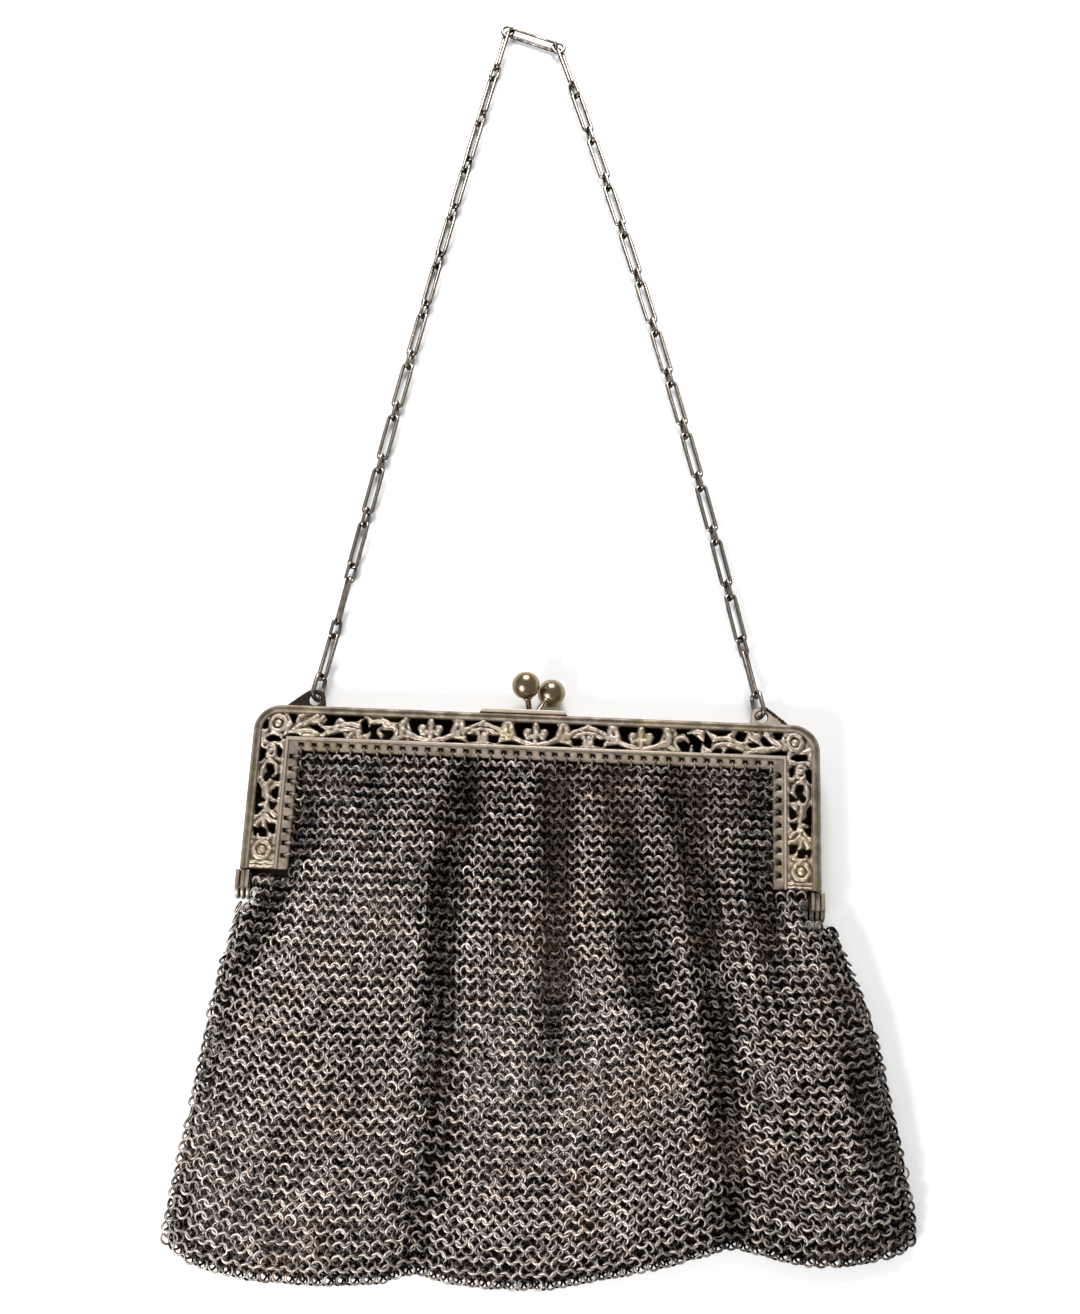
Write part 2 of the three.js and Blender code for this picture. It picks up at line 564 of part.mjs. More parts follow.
function chainStrand(strand) {
  const startY = LUG_HOLE_Y + LUG_HOLE_RADIUS - END_RING_SEAT - END_RING_WIRE / 2;
  const start = new THREE.Vector3(strand.side * LUG_X, startY, LUG_HEIGHT);
  const total = start.distanceTo(new THREE.Vector3(strand.cornerX, strand.cornerY, CHAIN_HEIGHT));
  const rings = LINKS_PER_SIDE - 1;
  const joints = 2 * LINKS_PER_SIDE;
  const lost = END_RING_LENGTH + rings * RING_LENGTH + CORNER_RING / 2 - CORNER_PULL;
  const wanted = total + joints * LINK_CONTACT - lost;
  const linkLength = wanted / LINKS_PER_SIDE;
  const loops = [];
  const lay = (from, length, width, wire, roll) => {
    const low = strandPoint(strand, start, from, total);
    const high = strandPoint(strand, start, from + length, total);
    loops.push(placedLoop(low, high, length, width, wire, roll));
    return from + length - LINK_CONTACT;
  };
  let place = lay(0, END_RING_LENGTH, END_RING_WIDTH, END_RING_WIRE, 90 + strand.side * END_RING_TURN);
  for (let link = 0; link < LINKS_PER_SIDE; link += 1) {
    const turn = strand.turns[link];
    place = lay(place, linkLength, LINK_WIDTH, LINK_WIRE, turn * strand.side);
    if (link === rings) break;
    const across = ((turn + strand.turns[link + 1]) / 2) * strand.side + 90;
    place = lay(place, RING_LENGTH, RING_WIDTH, RING_WIRE, across);
  }
  return loops;
}

function chain() {
  const corners = STRANDS.map((strand) => new THREE.Vector3(strand.cornerX, strand.cornerY, CHAIN_HEIGHT));
  const across = new THREE.Vector3().subVectors(corners[1], corners[0]).normalize();
  const loops = STRANDS.flatMap(chainStrand);
  const reach = CORNER_RING / 2 - LINK_CONTACT + CORNER_PULL;
  const left = corners[0].clone().addScaledVector(across, reach);
  const right = corners[1].clone().addScaledVector(across, -reach);
  loops.push(placedLoop(left, right, left.distanceTo(right), LINK_WIDTH, LINK_WIRE, TOP_LINK_ROLL));
  for (const corner of corners) {
    const ring = new THREE.TorusGeometry(CORNER_RING / 2, -RING_WIRE / 2, WIRE_SIDES, 10);
    loops.push(solid(ring.translate(corner.x, corner.y, corner.z)));
  }
  return fused(loops);
}

function foldDepth(folds, x, y) {
  let depth = 0;
  for (const fold of folds) {
    const first = fold.path[0];
    const last = fold.path.at(-1);
    if (y > first.y + 12 || y < last.y - 12) continue;
    const across = (x - lookUp(fold.path, 'y', 'x', y)) / fold.halfWidth;
    const fade = Math.min(1, Math.max(0, 1 - (y - first.y) / 12), Math.max(0, 1 - (last.y - y) / 12));
    depth += lookUp(fold.path, 'y', 'depth', y) * fade * Math.exp(-across * across);
  }
  return depth;
}

// A place on the pouch: across runs from the left seam to the right one, down from mouth to hem.
function pouchPlace(across, down) {
  const left = lookUp(SIDE_ROWS, 'down', 'left', down);
  const right = lookUp(SIDE_ROWS, 'down', 'right', down);
  const x = left + across * (right - left);
  const hemX = HEM_ROWS[0].x + across * (HEM_ROWS.at(-1).x - HEM_ROWS[0].x);
  const hemY = lookUp(HEM_ROWS, 'x', 'y', hemX);
  const y = MOUTH_Y + down * (hemY - MOUTH_Y);
  return { x, y, fromSide: Math.min(x - left, right - x), fromHem: y - hemY };
}

function roll(distance, reach) {
  const part = THREE.MathUtils.clamp(distance / reach, 0, 1);
  return Math.sqrt(1 - (1 - part) ** 2);
}

function frontHeight(place) {
  const rise = roll(place.fromSide, SIDE_ROLL) * roll(place.fromHem, HEM_ROLL);
  const crown = lookUp(CROWN_ROWS, 'y', 'height', place.y) - SEAM_HEIGHT;
  return SEAM_HEIGHT + rise * (crown - foldDepth(FRONT_FOLDS, place.x, place.y));
}

function backLift(place) {
  return SEAM_LIFT * (1 - roll(Math.min(place.fromSide, place.fromHem), SEAM_WIDTH));
}

// A closed solid between two heights over a grid of places, closer together near the seams.
function quilt({ columns, rows }, placeAt, topAt, bottomAt) {
  const positions = [];
  const index = [];
  const layer = (columns + 1) * (rows + 1);
  for (const heightAt of [topAt, bottomAt]) {
    for (let row = 0; row <= rows; row += 1) {
      for (let column = 0; column <= columns; column += 1) {
        const across = column / columns;
        const down = row / rows;
        const place = placeAt(
          across - 0.07 * Math.sin(2 * Math.PI * across),
          down + 0.07 * Math.sin(Math.PI * down),
        );
        positions.push(place.x, place.y, heightAt(place));
      }
    }
  }
  const at = (column, row) => row * (columns + 1) + column;
  const quad = (a, b, c, d) => index.push(a, b, c, a, c, d);
  for (let row = 0; row < rows; row += 1) {
    for (let column = 0; column < columns; column += 1) {
      const corners = [at(column, row), at(column, row + 1), at(column + 1, row + 1), at(column + 1, row)];
      quad(...corners);
      quad(...corners.map((corner) => corner + layer).reverse());
    }
  }
  for (let column = 0; column < columns; column += 1) {
    quad(at(column, 0), at(column + 1, 0), at(column + 1, 0) + layer, at(column, 0) + layer);
    quad(at(column + 1, rows), at(column, rows), at(column, rows) + layer, at(column + 1, rows) + layer);
  }
  for (let row = 0; row < rows; row += 1) {
    quad(at(0, row + 1), at(0, row), at(0, row) + layer, at(0, row + 1) + layer);
    quad(at(columns, row), at(columns, row + 1), at(columns, row + 1) + layer, at(columns, row) + layer);
  }
  const geometry = new THREE.BufferGeometry();
  geometry.setAttribute('position', new THREE.Float32BufferAttribute(positions, 3));
  geometry.setIndex(index);
  return solid(geometry);
}

// The pouch: a front sheet with its folds and a flat back sheet, joined at the side seams and the
// hem and open at the mouth. Above the hinges the two are apart, because the legs lie beside them.
function pouch() {
  const frontInside = (place) => {
    const fromSeam = Math.min(place.fromSide, place.fromHem);
    return frontHeight(place) - SHEET - SEAM_OVERLAP * (1 - roll(fromSeam, SEAM_WIDTH));
  };
  const front = quilt(FRONT_GRID, pouchPlace, frontHeight, frontInside);
  const insidePlace = (across, down) => pouchPlace(0.005 + 0.99 * across, 0.99 * down);
  const back = quilt(BACK_GRID, insidePlace, (place) => SHEET + backLift(place), backLift);
  const cuts = [-1, 1].flatMap((side) => {
    const legX = INNER_X - PIECE_GAP;
    const hingeX = HINGE_X - KNUCKLE_LENGTH / 2 - PIECE_GAP;
    const corners = [
      [legX, LEG_Y - PIECE_GAP],
      [hingeX, LEG_Y - HINGE_DROP - KNUCKLE_RADIUS - PIECE_GAP],
    ];
    return corners.map(([x, y]) => box(
      [Math.min(side * x, side * 82), y, -1],
      [Math.max(side * x, side * 82), 2, 20],
    ));
  });
  return cuts.reduce((whole, cut) => whole.subtract(cut), front.add(back));
}

// The clasp's halves: each saddle's ends and heights, its arm's first points and its ball.
const FRONT_HALF = {
  saddleX: [-15.5, 8],
  saddleZ: [6.1, 10.7],
  arm: [[-0.3, 7, 8.3], [1.2, 10, 7]],
  ball: [3.5, 14.6, 4.1],
};
const BACK_HALF = {
  saddleX: [-11, 5],
  saddleZ: [0.6, 4.6],
  arm: [[-2.1, 7, 2.8], [-2.4, 9.6, 4]],
  ball: [-3.5, 15.2, 8.3],
};

const purse = new THREE.Group();
purse.add(
  piece('frame_front', frameFront(), SILVER),
  piece('frame_back', frameBack(), SILVER),
  piece('hinge_left', hinge(-1), SILVER),
  piece('hinge_right', hinge(1), SILVER),
  piece('clasp_front', claspHalf(FRONT_HALF), BRIGHT_SILVER),
  piece('clasp_back', claspHalf(BACK_HALF), BRIGHT_SILVER),
  piece('chain', chain(), DARK_SILVER),
  piece('pouch', pouch(), RING_MESH),
);

export default purse;
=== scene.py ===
"""Ring mesh purse with a pierced silver frame, lying on its back on a pale floor.

Every length in the tables and dataclasses is in millimetres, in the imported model's own frame:
x to the right across the purse, y from the pouch towards the chain, z up from the floor.
"""

import logging
import math
from dataclasses import dataclass, field
from enum import Enum
from typing import Callable, Dict, List, Sequence, Tuple

import bpy
import numpy as np
from mathutils import Matrix, Vector


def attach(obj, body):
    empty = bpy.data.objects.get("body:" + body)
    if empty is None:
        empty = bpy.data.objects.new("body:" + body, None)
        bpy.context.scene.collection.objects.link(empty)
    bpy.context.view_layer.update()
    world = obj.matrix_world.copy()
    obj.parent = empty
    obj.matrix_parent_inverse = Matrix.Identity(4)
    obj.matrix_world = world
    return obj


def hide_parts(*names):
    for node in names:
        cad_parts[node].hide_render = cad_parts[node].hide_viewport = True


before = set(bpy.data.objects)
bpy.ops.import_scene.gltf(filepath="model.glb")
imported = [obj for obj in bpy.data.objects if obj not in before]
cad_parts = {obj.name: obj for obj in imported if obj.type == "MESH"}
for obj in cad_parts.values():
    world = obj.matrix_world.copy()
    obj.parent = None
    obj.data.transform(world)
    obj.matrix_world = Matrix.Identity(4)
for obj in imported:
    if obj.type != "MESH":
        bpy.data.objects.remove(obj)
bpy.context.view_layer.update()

log = logging.getLogger("purse")

MM = 0.001
TINY = 1e-9
SEED = 1912
ROOT = "root"

Array = np.ndarray
Point = Tuple[float, float]
Colour = Tuple[float, float, float]


class Slot(Enum):
    """The record's material slots."""

    FRAME = "frame_silver"
    CLASP = "clasp_silver"
    CHAIN = "chain_silver"
    MESH = "ring_mesh"


class Side(Enum):
    """The two sides of the purse, as seen from its pierced front."""

    LEFT = -1
    RIGHT = 1


# Tables shared with the solid model

FLOWER_REPEAT = 28.3
FLOWER_X = -0.2

FLOWER_GAPS: Dict[str, List[Point]] = {
    "beside_berry": [(1, 4), (5.2, 4), (5.7, 2.9), (4.8, 0.4), (3.1, -0.7), (3.8, 1.2), (3, 2.6), (1.3, 2.6)],
    "under_leaf": [(4.3, -2.4), (6.1, -1.5), (8.2, -1.8), (9.5, -2.5)],
}
ARCH_GAPS: Dict[str, List[Point]] = {
    "under_arch": [(9.9, -0.2), (12.4, -0.3), (12.1, -1.7), (10.5, -2)],
    "over_arch": [(9.4, 4), (13, 4), (11.3, 3.1), (9.8, 2.6)],
}
LEFT_END_GAPS: Dict[str, List[Point]] = {
    "corner_oval": [(-72.2, -3.3), (-70.9, -2.5), (-69.3, -2.8), (-68.6, -3.7), (-71.5, -4)],
    "corner_slot": [(-73.4, 2), (-72.6, 1.8), (-72.6, -0.3), (-73.4, -0.4)],
    "leaf_notch": [(-66.6, 3.8), (-64.7, 3.6), (-65.4, 1.3)],
    "lower_slot": [(-67.8, -2.9), (-66.4, -2.1), (-64.8, -1.9), (-62.9, -2.8)],
    "cross_slot": [(-60.9, 0.7), (-59.2, 0.9), (-57, -0.7), (-57.9, -1.2)],
    "upper_gap": [(-57, 3.9), (-53.4, 3.8), (-54.4, 2.7), (-55, 1.2), (-57.2, 1), (-56, 2.4)],
    "crescent": [(-52.8, 3.9), (-46.8, 3.9), (-48.6, 2.7), (-51.3, 2.5)],
    "long_slot": [(-56.8, -2.5), (-54, -1.6), (-52.2, -1.1), (-51.7, -2.3)],
    "lens": [(-47.1, 1.9), (-46.1, 3.2), (-45.1, -0.2), (-46.4, -0.8)],
    "scroll_outer": [(-44.5, 1.5), (-41.7, 1.6), (-43.2, 0.4), (-43.2, -1), (-41.6, -2.7), (-44.6, -2.6),
                     (-44.1, -1)],
    "scroll_inner": [(-41.6, 0), (-39, 0.1), (-38.6, -0.8), (-39.8, -2.6), (-41, -2.4), (-40.4, -1.1)],
    "scroll_top": [(-41, 3.9), (-36.1, 3.9), (-37.6, 2.8), (-39.2, 3)],
}
RIGHT_END_GAPS: Dict[str, List[Point]] = {
    "corner_oval": [(68.5, -3.1), (69.7, -2.2), (72.5, -2.2), (72.5, -3.3), (70, -3.7)],
    "lower_slot": [(62.4, -2.3), (65.5, -1.2), (67.1, -1.5), (66.8, -2.4)],
    "leaf_notch": [(63.8, 3.9), (66.1, 3.9), (65.4, 2.2), (64.4, 2.2)],
    "mid_notch": [(60.4, 1.3), (61.6, 0.2), (63.1, 0.3), (61, 2.5)],
    "cross_slot": [(56.9, 0.2), (58.3, 0.8), (59.7, 0.1), (57.8, -0.4)],
    "upper_gap": [(53.6, 2.4), (54.4, 3.8), (56.3, 3.4), (55.4, 1.2), (54, 1.4)],
    "crescent": [(46.3, 4), (52.3, 4), (50.9, 3), (49, 2.5)],
    "long_slot": [(50.7, -2.3), (52, -1), (55.3, -2)],
    "short_slot": [(47.4, -2.3), (48.4, -1.4), (49.7, -1.5), (49.4, -2.4)],
    "lens": [(45.6, 3), (46.9, 0.9), (46.6, -1), (45.2, -0.2)],
    "scroll_outer": [(40.4, 2.2), (41.8, 2.5), (44.3, 0.7), (43.7, -2.4), (42.5, -2.5), (42.3, -0.6)],
    "scroll_inner": [(38, -0.4), (39.8, 0.5), (41.2, -0.6), (40.6, -2.4), (39.2, -2.1)],
    "scroll_top": [(37.8, 3.9), (41.2, 4), (40, 3), (38.2, 2.7)],
}
# The legs' gaps: depth counted inwards from the leg's outer edge, then y.
LEG_GAPS: Dict[str, List[Point]] = {
    "flower_side": [(2.6, -6.2), (3.9, -6.6), (3.6, -8.5), (2.6, -9.7)],
    "flower_inner": [(7.2, -5.5), (8.1, -6.4), (7.8, -8.2), (7.2, -7.2)],
    "leaf_eye": [(4.7, -10.7), (6.1, -10.7), (6.6, -12.6), (4.7, -15.2), (4.2, -14.1), (5.2, -12.8)],
    "leaf_tip": [(6.3, -14.6), (8, -13.2), (8, -14.9)],
    "stem_outer": [(2.6, -16), (3.5, -17.4), (3.6, -19.5), (4.9, -20.6), (2.7, -21.4)],
    "stem_inner": [(6.8, -17.8), (8.1, -16.7), (8, -20.1), (6.6, -18.9)],
    "cross_outer": [(2.7, -22.1), (4.5, -22.7), (3, -24.4)],
    "cross_inner": [(6.4, -21), (8.1, -21.2), (7, -23)],
    "fan_outer": [(2.7, -28), (3.9, -28.4), (3.2, -30.1)],
    "fan_middle": [(4.4, -27.8), (5.8, -28.4), (6.1, -30.2), (4.6, -30.1)],
    "fan_inner": [(6.4, -27), (8.2, -27), (8.1, -29.3), (7, -28.8)],
}

# Cast strands: half width, height, then the points that each follows.
Strand = Tuple[float, float, List[Point]]
FLOWER_STRANDS: Dict[str, Strand] = {
    "stem": (0.65, 0.55, [(0, -2.6), (0, 3.4)]),
    "bud": (0.95, 0.7, [(0, 3.0), (0, 3.1)]),
    "petal": (0.6, 0.45, [(0.2, 0.2), (1.2, 0.1), (2.2, -0.2)]),
    "berry": (1.1, 0.85, [(2.5, 1.25), (2.51, 1.25)]),
    "sweep": (0.6, 0.55, [(0.5, -2.5), (2.6, -1.7), (4.6, -1.0), (6.1, -0.4), (7.4, 0.5)]),
    "leaf_near": (0.75, 0.6, [(6.3, -0.2), (6.5, 1.6), (7.3, 3.9)]),
    "leaf_far": (0.75, 0.6, [(7.5, -0.2), (8.4, 1.5), (7.8, 3.9)]),
    "tendril": (0.5, 0.45, [(6.4, -0.9), (8.3, -1.2), (9.9, -0.9), (10.4, -0.2)]),
}
ARCH_STRANDS: Dict[str, Strand] = {
    "arch": (0.6, 0.6, [(8.8, 0.2), (10.2, 1.7), (12.2, 2.7), (14.15, 3.0)]),
    "arch_inner": (0.5, 0.5, [(10.3, 0.1), (12.0, 1.2), (14.15, 1.5)]),
    "crown": (0.9, 0.65, [(14.15, 3.6), (14.16, 3.6)]),
    "fan_side": (0.55, 0.55, [(13.9, -2.4), (13.2, -1.2), (12.9, 0.2)]),
    "fan_middle": (0.6, 0.6, [(14.15, -2.4), (14.15, 0.3)]),
    "foot": (0.5, 0.45, [(10.2, -2.4), (11.8, -2.3), (13.6, -2.5)]),
}
END_STRANDS: Dict[str, Strand] = {
    "l_rose": (0.9, 0.8, [(-69.6, 1.0), (-69.59, 1.0)]),
    "l_rose_ring": (0.55, 0.5, [(-71.6, 0.9), (-70.7, 2.7), (-68.7, 2.8), (-67.6, 1.0), (-68.6, -0.8),
                               (-70.7, -0.9), (-71.6, 0.9)]),
    "l_leaf_up": (0.6, 0.55, [(-67.2, -1.6), (-66.6, 0.6), (-65.2, 2.4), (-63.2, 3.4)]),
    "l_leaf_fan": (0.6, 0.55, [(-66.0, -1.4), (-64.0, 0.4), (-61.8, 1.6), (-59.2, 3.3)]),
    "l_leaf_low": (0.55, 0.5, [(-65.4, -1.5), (-62.6, -0.8), (-59.8, -0.8), (-56.9, -1.9)]),
    "l_cross": (0.55, 0.55, [(-62.4, -2.3), (-59.4, -1.8), (-56.2, -0.2), (-53.6, 0.4)]),
    "l_upper_vine": (0.5, 0.5, [(-61.2, 2.4), (-58.8, 2.0), (-57.4, 3.2)]),
    "l_palmette": (0.6, 0.6, [(-57.9, 0.2), (-54.6, 0.5), (-51.0, 1.5), (-47.6, 1.0)]),
    "l_palmette_low": (0.55, 0.55, [(-55.6, -1.0), (-52.0, 0.0), (-48.8, -0.3), (-47.2, -2.2)]),
    "l_palmette_side": (0.5, 0.5, [(-50.6, -2.4), (-49.4, -1.0), (-47.3, -0.4)]),
    "l_scroll": (0.55, 0.6, [(-45.6, 3.2), (-44.4, 2.4), (-42.4, 2.4), (-40.6, 1.6), (-38.6, 1.4),
                            (-37.6, 0.2), (-37.9, -1.6), (-38.9, -2.5)]),
    "l_curl": (0.55, 0.55, [(-42.2, 0.9), (-42.6, -0.3), (-41.7, -1.3), (-41.5, -2.4)]),
    "l_leaf_last": (0.8, 0.6, [(-36.0, -0.6), (-36.3, 1.4), (-35.6, 3.6)]),
    "l_last_sweep": (0.5, 0.5, [(-37.8, -2.4), (-36.2, -1.4), (-34.4, -1.0), (-32.2, -1.7)]),
    "r_rose": (0.9, 0.8, [(69.4, 1.2), (69.41, 1.2)]),
    "r_rose_ring": (0.55, 0.5, [(71.4, 1.2), (70.5, 3.0), (68.5, 3.1), (67.4, 1.3), (68.4, -0.5),
                               (70.5, -0.7), (71.4, 1.2)]),
    "r_leaf_up": (0.6, 0.55, [(66.9, -0.6), (66.4, 1.2), (65.4, 3.2)]),
    "r_leaf_fan": (0.6, 0.55, [(66.4, -0.9), (64.4, 0.9), (62.7, 2.0), (61.6, 3.4)]),
    "r_leaf_low": (0.55, 0.5, [(65.4, -0.9), (62.4, -0.6), (59.6, -1.0), (57.0, -2.2)]),
    "r_cross": (0.55, 0.55, [(62.2, -1.4), (59.6, -1.4), (56.2, -0.5), (53.6, 0.4)]),
    "r_bud": (1.0, 0.7, [(59.1, 2.4), (59.11, 2.4)]),
    "r_upper_vine": (0.5, 0.5, [(60.2, 1.0), (58.3, 1.7), (56.9, 3.0)]),
    "r_palmette": (0.6, 0.6, [(57.6, 0.4), (54.4, 0.5), (51.0, 1.7), (47.7, 1.2)]),
    "r_palmette_low": (0.55, 0.55, [(55.4, -1.1), (51.6, 0.0), (48.6, -0.3), (47.2, -1.9)]),
    "r_scroll": (0.55, 0.6, [(44.6, 3.2), (42.6, 3.2), (40.9, 1.4), (38.6, 1.4), (37.4, 0.4), (37.8, -1.3),
                            (38.6, -2.4)]),
    "r_curl": (0.55, 0.55, [(41.9, 1.7), (42.0, 0.2), (41.5, -1.2), (41.6, -2.4)]),
    "r_leaf_last": (0.8, 0.6, [(35.3, -0.6), (35.6, 1.4), (35.0, 3.6)]),
    "r_last_sweep": (0.5, 0.5, [(37.4, -2.4), (35.9, -1.4), (34.0, -1.0), (31.9, -1.7)]),
}
# The legs' strands: depth counted inwards from the leg's outer edge, then y.
LEG_STRANDS: Dict[str, Strand] = {
    "flower": (0.8, 0.8, [(5.2, -6.9), (5.2, -6.91)]),
    "flower_ring": (0.5, 0.5, [(6.6, -6.9), (5.9, -5.5), (4.5, -5.5), (3.9, -6.9), (4.6, -8.3), (5.9, -8.3),
                              (6.6, -6.9)]),
    "upper_bar": (0.5, 0.5, [(3.0, -4.6), (5.0, -4.3), (8.0, -4.4)]),
    "loop_leaf": (0.5, 0.6, [(5.3, -9.4), (3.8, -11.3), (3.6, -13.4), (4.6, -16.0), (6.2, -15.0),
                            (7.3, -12.8), (6.9, -10.8), (5.3, -9.4)]),
    "stem": (0.6, 0.55, [(5.0, -16.2), (5.3, -18.4), (5.5, -20.4), (5.6, -23.4)]),
    "cross_one": (0.55, 0.55, [(3.2, -20.0), (5.4, -22.0), (8.0, -24.6)]),
    "cross_two": (0.55, 0.55, [(8.0, -20.0), (5.6, -22.2), (3.0, -25.2)]),
    "fan_one": (0.55, 0.55, [(5.4, -24.6), (3.8, -26.4), (3.2, -27.4)]),
    "fan_two": (0.55, 0.55, [(5.5, -24.6), (5.4, -27.2)]),
    "fan_three": (0.55, 0.55, [(5.6, -24.6), (7.0, -26.0), (8.0, -26.4)]),
    "fan_base": (0.5, 0.5, [(4.2, -30.6), (5.6, -31.0), (7.4, -30.4)]),
    "rosette": (1.0, 0.85, [(5.4, -34.0), (5.4, -34.01)]),
    "rosette_ring": (0.55, 0.6, [(7.5, -34.0), (6.6, -32.3), (5.4, -31.8), (4.1, -32.3), (3.3, -34.0),
                                (4.1, -35.8), (5.4, -36.2), (6.6, -35.8), (7.5, -34.0)]),
    "border_one": (0.35, 0.45, [(2.6, -37.4), (9.0, -37.4)]),
    "border_two": (0.35, 0.45, [(2.6, -38.5), (12.4, -38.5)]),
}

SIDE_DOWN = (0, 0.3, 0.42, 0.55, 0.75, 0.95, 1)
SIDE_LEFT = (-76.2, -76.4, -79, -81.5, -84, -87.2, -87.6)
SIDE_RIGHT = (76.2, 78.4, 84, 90, 95, 99.4, 99.6)
HEM_X = (-87.6, -81.2, -73.6, -64.7, -46, -31.4, -24.7, -16.6, -3, 8.1, 21.5, 38.7, 54.7, 63.4, 75, 85.7, 96,
         99.6)
HEM_Y = (-131, -136.7, -138.7, -140.2, -140.7, -139.5, -136.4, -138.9, -139.7, -139.4, -136.6, -132.6, -127.2,
         -129.7, -131.4, -130.2, -127.4, -123.2)
CROWN_Y = (-6.7, -20, -45, -75, -100, -125, -141)
CROWN_HEIGHT = (10.1, 11.2, 12.2, 11.6, 10.4, 8.8, 8)


@dataclass(frozen=True)
class Fold:
    """A fold of the front sheet, a valley where its depth is positive and a ridge where it is negative."""

    half_width: float
    y: Tuple[float, ...]
    x: Tuple[float, ...]
    depth: Tuple[float, ...]
    fade: float = 12

    def at(self, x: Array, y: Array) -> Array:
        """The fold's depth at places on the sheet.

        Args:
            x: Places across the purse.
            y: Places along the purse.

        Returns:
            The depth at each place.
        """
        centre = table(y, self.y, self.x)
        across = (x - centre) / self.half_width
        before = np.clip(1 - (y - self.y[0]) / self.fade, 0, 1)
        after = np.clip(1 - (self.y[-1] - y) / self.fade, 0, 1)
        return table(y, self.y, self.depth) * before * after * np.exp(-(across**2))


FRONT_FOLDS: Dict[str, Fold] = {
    "left_diagonal": Fold(4, (-12, -30, -52, -68, -102), (-59.3, -60, -68.5, -74.8, -81.4),
                          (0.6, 2, 2.8, 1.8, 0)),
    "left_faint": Fold(4, (-8, -20, -38), (-42.8, -42, -40), (0.6, 1.1, 0)),
    "left_valley": Fold(4.5, (-8, -20, -45, -81, -109, -125, -136),
                        (-17.6, -19, -22.2, -21.1, -20.1, -23.4, -24.7), (1, 3, 3.5, 2.8, 2.4, 2.2, 2)),
    "middle_faint": Fold(3.5, (-14, -36, -57, -75), (-7, -6.4, -3.9, -3), (0.2, 1.4, 1, 0)),
    "middle_valley": Fold(4, (-8, -20, -61, -88, -108), (5.9, 6.4, 7.4, 7.7, 4), (1, 2.8, 3.5, 2, 0)),
    "right_valley": Fold(4, (-8, -35, -66, -73, -84), (21, 26.1, 29.5, 33.4, 36), (0.8, 2.6, 3.2, 2, 0)),
    "right_short": Fold(3, (-34, -56, -80), (33.5, 35.7, 35), (0.3, 1.6, 0)),
    "far_right_valley": Fold(4, (-8, -20, -52, -88, -127), (40.2, 41, 46, 51.5, 54.7),
                             (1.2, 3, 3.5, 2.8, 2.2)),
    "right_hollow": Fold(3.5, (-26, -43, -56, -78), (58.5, 60.8, 63.2, 66), (0.3, 3.2, 1.8, 0)),
    "right_corner": Fold(3.5, (-8, -20, -32), (60.4, 62.8, 64), (1, 1, 0)),
    "right_edge": Fold(4, (-60, -80, -120), (78, 83, 94.6), (0, 1.4, 0.8)),
    "left_lobe": Fold(17, (-60, -95, -140), (-45, -50, -54), (0, -1.4, -0.8)),
    "right_lobe": Fold(13, (-70, -105, -140), (30, 28, 24), (0, -1.2, -0.6)),
}


# Geometry helpers


def table(at: Array, keys: Sequence[float], values: Sequence[float]) -> Array:
    """Linear values between the rows of a table whose keys rise or fall.

    Args:
        at: Where the table is read.
        keys: The rows' keys.
        values: The rows' values.

    Returns:
        The values, held level past both ends.
    """
    order = np.argsort(keys)
    return np.interp(at, np.asarray(keys, float)[order], np.asarray(values, float)[order])


def soft_table(at: Array, keys: Sequence[float], values: Sequence[float], reach: float) -> Array:
    """The same as table, with its corners rounded off.

    Args:
        at: Where the table is read.
        keys: The rows' keys.
        values: The rows' values.
        reach: How far the rounding reaches to each side, in the keys' unit.

    Returns:
        The smoothed values.
    """
    steps = np.linspace(-1, 1, 7)
    weights = 1 - np.abs(steps) * 0.8
    total = sum(weight * table(at + step * reach, keys, values) for step, weight in zip(steps, weights))
    return total / weights.sum()


def unit(vectors: Array) -> Array:
    """Brings vectors to unit length.

    Args:
        vectors: The vectors, one or more.

    Returns:
        The unit vectors.
    """
    return vectors / np.maximum(np.linalg.norm(vectors, axis=-1, keepdims=True), TINY)


def segment_distance(x: Array, y: Array, start: Point, end: Point) -> Array:
    """How far places are from a straight segment.

    Args:
        x: The places' x.
        y: The places' y.
        start: The segment's first end.
        end: Its other end.

    Returns:
        The distance of each place.
    """
    dx, dy = end[0] - start[0], end[1] - start[1]
    length = max(dx * dx + dy * dy, TINY)
    part = np.clip(((x - start[0]) * dx + (y - start[1]) * dy) / length, 0, 1)
    return np.hypot(x - start[0] - part * dx, y - start[1] - part * dy)


def polygon_distance(x: Array, y: Array, corners: Sequence[Point]) -> Array:
    """Signed distance of places from a polygon, negative inside it.

    Args:
        x: The places' x.
        y: The places' y.
        corners: The polygon's corners in order.

    Returns:
        The signed distance of each place.
    """
    distance = np.full(x.shape, 1e9)
    inside = np.zeros(x.shape, bool)
    for start, end in zip(corners, [*corners[1:], corners[0]]):
        distance = np.minimum(distance, segment_distance(x, y, start, end))
        if start[1] == end[1]:
            continue
        crosses = (start[1] > y) != (end[1] > y)
        crossing = start[0] + (y - start[1]) * (end[0] - start[0]) / (end[1] - start[1])
        inside ^= crosses & (x < crossing)
    return np.where(inside, -distance, distance)


